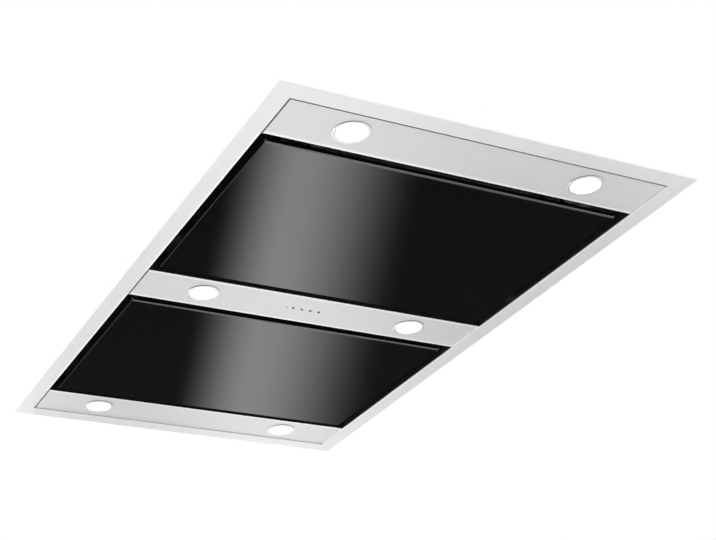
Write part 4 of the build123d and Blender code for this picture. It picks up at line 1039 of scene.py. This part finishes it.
# %% [markdown]
# ## Grease filters
# Behind each glass panel lies a pack of expanded metal: sheet that is slit and pulled into
# diamonds. A picture of a mesh would look flat as soon as a panel swings open, so the diamonds are
# real faces.

# %% Helper: a sheet of diamonds
def diamond_sheet(form, width, length, diamond_x, diamond_y, height):
    """Diamond faces that fill a rectangle round the origin."""
    columns, rows = int(width / diamond_x), int(2 * length / diamond_y) - 1
    half_x, half_y = diamond_x / 2, diamond_y / 2
    start_x, start_y = -columns * half_x, -(rows + 1) * half_y / 2
    corner = {}

    def vertex(x, y):
        key = (round(x / mm, 2), round(y / mm, 2))
        if key not in corner:
            corner[key] = form.verts.new((x, y, height))
        return corner[key]

    for row in range(rows):
        inset = half_x if row % 2 else 0.0
        for column in range(columns - (row % 2)):
            x = start_x + inset + column * diamond_x
            y = start_y + row * half_y
            left = vertex(x, y + half_y)
            near = vertex(x + half_x, y)
            right = vertex(x + diamond_x, y + half_y)
            far = vertex(x + half_x, y + diamond_y)
            form.faces.new((left, near, right, far))


print("diamond sheets can be made")

# %% [markdown]
# ### The filter packs
# The Wireframe modifier turns every edge of a sheet into a strand and drops the faces. Two layers
# with the diamonds turned a quarter make the pack.

# %% Expand the metal
mesh_low, mesh_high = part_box("filter_meshes")
frame_low, frame_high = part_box("filter_frame_rear")
mesh_play = 2 * mm
mesh_width = mesh_high.x - mesh_low.x - mesh_play
mesh_middle = (frame_low.y + frame_high.y) / 2
mesh_length = 2 * (mesh_high.y - mesh_middle) - mesh_play
strand = 1.3 * mm

form = bmesh.new()
diamond_sheet(form, mesh_width, mesh_length, 14 * mm, 8 * mm, mesh_low.z + 1.0 * mm)
diamond_sheet(form, mesh_width, mesh_length, 9 * mm, 16 * mm, mesh_low.z + 3.8 * mm)
strands = plain_mesh("filter_strands", form)
for end, middle in (("front", -mesh_middle), ("rear", mesh_middle)):
    pack = link_piece(f"filter_mesh_{end}", strands, strand_metal, (0, middle, 0))
    wires = pack.modifiers.new("strands", "WIREFRAME")
    wires.thickness = strand
    wires.use_boundary = True
    wires.use_even_offset = False
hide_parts("filter_meshes")
print(len(strands.polygons), "diamonds in each filter")

# %% [markdown]
# ## Screws
# The same short screw holds the duct collar, the fan motor and the terminal cover: a rounded head
# with a cross recess. The recess is pressed in at the factory. Here a Boolean modifier cuts it, and
# the result is kept as a plain mesh.

# %% Helpers for cutting
def block(name, size, centre):
    """A cuboid of a size round a centre."""
    form = bmesh.new()
    place = Matrix.Translation(Vector(centre)) @ Matrix.Diagonal((*size, 1.0))
    bmesh.ops.create_cube(form, size=1.0, matrix=place)
    return plain_mesh(name, form)


def cut_with(mesh, cutter_mesh):
    """A copy of a mesh with another one cut out of it."""
    body = bpy.data.objects.new("cut_body", mesh)
    cutter = bpy.data.objects.new("cut_tool", cutter_mesh)
    for thing in (body, cutter):
        scene.collection.objects.link(thing)
    cut = body.modifiers.new("cut", "BOOLEAN")
    cut.operation = "DIFFERENCE"
    cut.object = cutter
    bpy.context.view_layer.update()
    after_cut = body.evaluated_get(bpy.context.evaluated_depsgraph_get())
    made = bpy.data.meshes.new_from_object(after_cut)
    for thing in (body, cutter):
        bpy.data.objects.remove(thing)
    return made


print("meshes can be cut")

# %% [markdown]
# ### The screw's head
# The head is turned on the lathe and two crossed bars cut the recess, once, for one mesh that every
# screw shares.

# %% Make the screw head
head_radius = 3.2
head_height = 2.2
head_rim = 0.5
head_profile = [(0, 0), (head_radius, 0), (head_radius, head_rim)]
for degrees in (20, 40, 60, 78):
    across, up = round_place(math.radians(degrees), 1.0)
    head_profile.append((head_radius * across, head_rim + (head_height - head_rim) * up))
head_profile.append((0, head_height))

cross_long, cross_wide, cross_tall = 3.4 * mm, 0.8 * mm, 2.4 * mm
screw_mesh = lathe("screw_blank", head_profile, sides=32)
for name, x, y in (("cross_a", cross_long, cross_wide), ("cross_b", cross_wide, cross_long)):
    cross = block(name, (x, y, cross_tall), (0, 0, head_height * mm))
    screw_mesh = cut_with(screw_mesh, cross)
screw_mesh.name = "screw_head"
print("screw head with", len(screw_mesh.polygons), "faces")

# %% [markdown]
# ### Where the screws go
# Four heads sit on the collar's flange and three on the motor's arms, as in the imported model. Four
# more hold the terminal cover. Each screw is noted as a name, a place and the way its head faces.

# %% Find the places on collar, motor and terminal cover
def turned_to(direction):
    return Vector(direction).to_track_quat("Z", "Y")


casing_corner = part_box("casing_roof")[1]
roof_top = casing_corner.z - 2 * mm  # the pressed beads stand 2 mm above the sheet
flange_thick = 1.5
flange_top = roof_top + flange_thick * mm
screw_circle = 85 * mm
screw_spots = []
for n in range(4):
    x, y = round_place(math.radians(45 + 90 * n), screw_circle)
    screw_spots.append((f"collar_screw_{n + 1}", (x, y, flange_top), (0, 0, 1)))

fan_middle = (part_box("impeller")[0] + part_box("impeller")[1]) / 2
arm_circle = 73.5 * mm
arm_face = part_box("short_screws")[0].y + head_height * mm
for n in range(3):
    x, z = round_place(math.radians(120 * n), arm_circle)
    spot = (fan_middle.x + x, arm_face, fan_middle.z + z)
    screw_spots.append((f"motor_screw_{n + 1}", spot, (0, -1, 0)))

lid_low, lid_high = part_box("terminal_cover")
lid_inset = 6 * mm
left, right = lid_low.x + lid_inset, lid_high.x - lid_inset
near, far = lid_low.y + lid_inset, lid_high.y - lid_inset
for n, (x, y) in enumerate(((left, near), (right, near), (right, far), (left, far)), start=1):
    screw_spots.append((f"cover_screw_{n}", (x, y, lid_high.z), (0, 0, 1)))

print(len(screw_spots), "places so far")

# %% [markdown]
# ### The roof's screws
# The roof's lip is screwed to the casing all round, which is how such boxes are closed. With these
# places the list is whole, and one loop sets every screw.

# %% Set the screws
lip_screw_height = casing_corner.z - 9 * mm
lip_long = [-0.5, -0.3, -0.1, 0.1, 0.3, 0.5]
lip_short = [-0.22, 0.0, 0.22]
for side, outward in (("left", -1), ("right", 1)):
    for n, y in enumerate(lip_long, start=1):
        spot = (outward * casing_corner.x, y, lip_screw_height)
        screw_spots.append((f"lip_screw_{side}_{n}", spot, (outward, 0, 0)))
for end, outward in (("front", -1), ("rear", 1)):
    for n, x in enumerate(lip_short, start=1):
        spot = (x, outward * casing_corner.y, lip_screw_height)
        screw_spots.append((f"lip_screw_{end}_{n}", spot, (0, outward, 0)))

for name, place, direction in screw_spots:
    screw = link_piece(name, screw_mesh, plated, place, turned_to(direction))
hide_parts("short_screws")
print(len(screw_spots), "screws")

# %% [markdown]
# ## Duct collar
# The collar is moulded plastic: a flange, a tube with two shallow grooves for the clip of the
# duct, a softened mouth, and inside it the seat that the two flaps close on. It is one turned
# profile. The imported collar gives its height and flange.

# %% Turn the collar
collar_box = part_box("outlet_collar")
collar_low, collar_high = (corner.z / mm for corner in collar_box)
flange_radius = collar_box[1].x / mm
flange_face = collar_low + flange_thick
tube_radius, bore_radius, seat_radius = 75.0, 73.8, 69.3
pin_low, pin_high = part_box("flap_pin")
seat_height = (pin_low.z + pin_high.z) / 2 / mm - 0.8
seat_thick = 1.0
groove_depth = 0.5


def groove_at(height):
    floor_radius = tube_radius - groove_depth
    return [(tube_radius, height + 2.2), (floor_radius, height + 1.6),
            (floor_radius, height - 1.6), (tube_radius, height - 2.2)]


collar_profile = [(bore_radius, collar_low), (bore_radius, seat_height - seat_thick),
                  (seat_radius, seat_height - seat_thick), (seat_radius, seat_height),
                  (bore_radius, seat_height), (bore_radius, collar_high - 0.5),
                  (bore_radius + 0.4, collar_high), (tube_radius - 0.5, collar_high),
                  (tube_radius, collar_high - 0.6)]
collar_profile += groove_at(collar_high - 9) + groove_at(collar_high - 17)
collar_profile += [(tube_radius, flange_face + 2.0), (tube_radius + 0.6, flange_face + 0.7),
                   (tube_radius + 2.0, flange_face), (flange_radius - 0.6, flange_face),
                   (flange_radius, flange_face - 0.5), (flange_radius, collar_low)]
collar_mesh = lathe("duct_collar", collar_profile, sides=144, ring=True)
collar = link_piece("duct_collar", collar_mesh, black_plastic)
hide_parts("outlet_collar")
print("collar", round(2 * tube_radius), "mm across, flange", round(2 * flange_radius), "mm")

# %% [markdown]
# ## Cable gland
# A gland has a hexagon that a spanner holds, and a domed nut that squeezes a rubber bush round the
# cable. A lathe with six sides turns the hexagon, and one with many turns the nut.

# %% Turn the gland's hexagon and nut
gland_low, gland_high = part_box("cable_gland")
terminal_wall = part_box("terminal_box")[0].y
gland_x, gland_z = (gland_low.x + gland_high.x) / 2, (gland_low.z + gland_high.z) / 2
gland_centre = Vector((gland_x, terminal_wall, gland_z))
gland_turn = turned_to((0, -1, 0))
nut_height = 8.0
gland_end = nut_height + 12.0
dome_radius, dome_round = 10.5, 3.2
cable_hole = 5.0
thread_bore = cable_hole + 1.2

hexagon = lathe("gland_hexagon", [
    (cable_hole + 1.5, 0), (12.6, 0), (13.4, 0.8), (13.4, nut_height - 0.8),
    (12.6, nut_height), (cable_hole + 1.5, nut_height)], sides=6, ring=True)
dome_profile = [(thread_bore, nut_height), (dome_radius, nut_height), (dome_radius, nut_height + 2.0)]
for degrees in range(0, 91, 15):
    across, up = round_place(math.radians(degrees), 1.0)
    dome_profile.append((dome_radius - dome_round * (1 - across), gland_end - dome_round * (1 - up)))
dome_profile.append((thread_bore, gland_end))
dome = lathe("gland_dome", dome_profile, sides=48, ring=True)
print("nut", round(2 * dome_radius), "mm across")

# %% [markdown]
# ### The gland's grip, bush and thread
# Fingers grip the nut by its flutes. They are made by moving every fourth point of the turned nut
# inwards. The bush and the thread are turned too, and all four parts share one axis.

# %% Finish the gland
flute_step, flute_share = 7.5, 0.93  # degrees between the dome's points, and how far they move in
flute_end = (gland_end - 2.5) * mm
for vertex in dome.vertices:
    radius = math.hypot(vertex.co.x, vertex.co.y)
    point = round(math.degrees(math.atan2(vertex.co.y, vertex.co.x)) / flute_step)
    if point % 4 == 0 and radius > 9.9 * mm and vertex.co.z < flute_end:
        vertex.co.x *= flute_share
        vertex.co.y *= flute_share

bush = lathe("gland_bush", [
    (cable_hole, -8.0), (cable_hole, gland_end - 0.4), (cable_hole + 1.1, gland_end - 0.8),
    (cable_hole + 1.1, -8.0)], sides=48, ring=True)
thread = lathe("gland_thread", [
    (thread_bore, -10.0), (9.4, -10.0), (9.9, -9.4), (9.9, 0.0), (thread_bore, 0.0)],
    sides=48, ring=True)
for mesh in (hexagon, dome, bush, thread):
    finish = rubber_and_gasket_shadow if mesh is bush else black_plastic
    part = link_piece(mesh.name, mesh, finish, gland_centre, gland_turn)
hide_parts("cable_gland")
print("gland reaches", round(gland_end), "mm out of the box")

# %% [markdown]
# ## Pressed beads on the casing
# Thin sheet drums when a fan runs behind it, so makers press long beads into the walls. Each bead
# is a low pillow with round ends. It is built from a stack of shrinking outlines whose heights
# follow a cosine, so the flanks run smoothly into the sheet and into the crest.

# %% Helper: one bead
def bead_mesh(name, length, width, height):
    """A low pillow on the XY plane, along X, rising to height."""
    form = bmesh.new()
    steps_up = 8
    reach = length / 2 - width / 2
    rings = []
    for n in range(steps_up + 1):
        radius = width / 2 * (1 - 0.8 * n / steps_up)
        up = height * (1 - math.cos(math.pi * n / steps_up)) / 2
        points = []
        for end, start in ((1, -90), (-1, 90)):
            for turn in range(0, 181, 15):
                x, y = round_place(math.radians(start + turn), radius)
                points.append(form.verts.new((end * reach + x, y, up)))
        rings.append(points)
    for low, high in zip(rings, rings[1:]):
        for n in range(len(low)):
            form.faces.new((low[n - 1], low[n], high[n], high[n - 1]))
    form.faces.new(rings[-1])
    form.faces.new(list(reversed(rings[0])))
    return finish_mesh(name, form, 50)


print("beads can be pressed")

# %% [markdown]
# ### Beads in the walls
# Each side has two rows of two beads, and each end has two rows of one. A bead lies flat when it is
# made, so a turn stands it up: its crest looks outwards and its length runs along the wall.

# %% Press the beads in the walls
bead_height = 2.6 * mm
bead_width = 26 * mm
wall_inset = 12 * mm
bead_rows = (0.09, 0.19)
long_bead = bead_mesh("long_bead", 0.40, bead_width, bead_height)
short_bead = bead_mesh("short_bead", 0.46, bead_width, bead_height)
wall_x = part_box("casing_side_right")[1].x - wall_inset
wall_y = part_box("casing_end_rear")[1].y - wall_inset
beads = []
for side, outward in (("left", -1), ("right", 1)):
    turn = Matrix(((0, 0, outward), (outward, 0, 0), (0, 1, 0))).to_quaternion()
    places = [(outward * wall_x, y, z) for z in bead_rows for y in (-0.26, 0.26)]
    for n, place in enumerate(places, start=1):
        beads.append((f"side_bead_{side}_{n}", long_bead, place, turn))
for end, outward in (("front", -1), ("rear", 1)):
    turn = Matrix(((-outward, 0, 0), (0, 0, outward), (0, 1, 0))).to_quaternion()
    for n, z in enumerate(bead_rows, start=1):
        beads.append((f"end_bead_{end}_{n}", short_bead, (0, outward * wall_y, z), turn))

print(len(beads), "beads in the walls")

# %% [markdown]
# ### Beads in the roof
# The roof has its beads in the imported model, with plain sloping sides. A wider pillow on each one
# gives it soft flanks.

# %% Press the beads in the roof
roof_bead = bead_mesh("roof_bead", 0.23, 28 * mm, 2.9 * mm)
quarter_turn = Quaternion((0, 0, 1), math.pi / 2)
roof_bead_x, roof_bead_y = 0.150, 0.314
for x in (-roof_bead_x, 0.0, roof_bead_x):
    for y in (-roof_bead_y, roof_bead_y):
        name = f"roof_bead_{len(beads) + 1}"
        beads.append((name, roof_bead, (x, y, roof_top), quarter_turn))

for name, mesh, place, turn in beads:
    link_piece(name, mesh, casing_sheet, place, turn)
print(len(beads), "pressed beads")
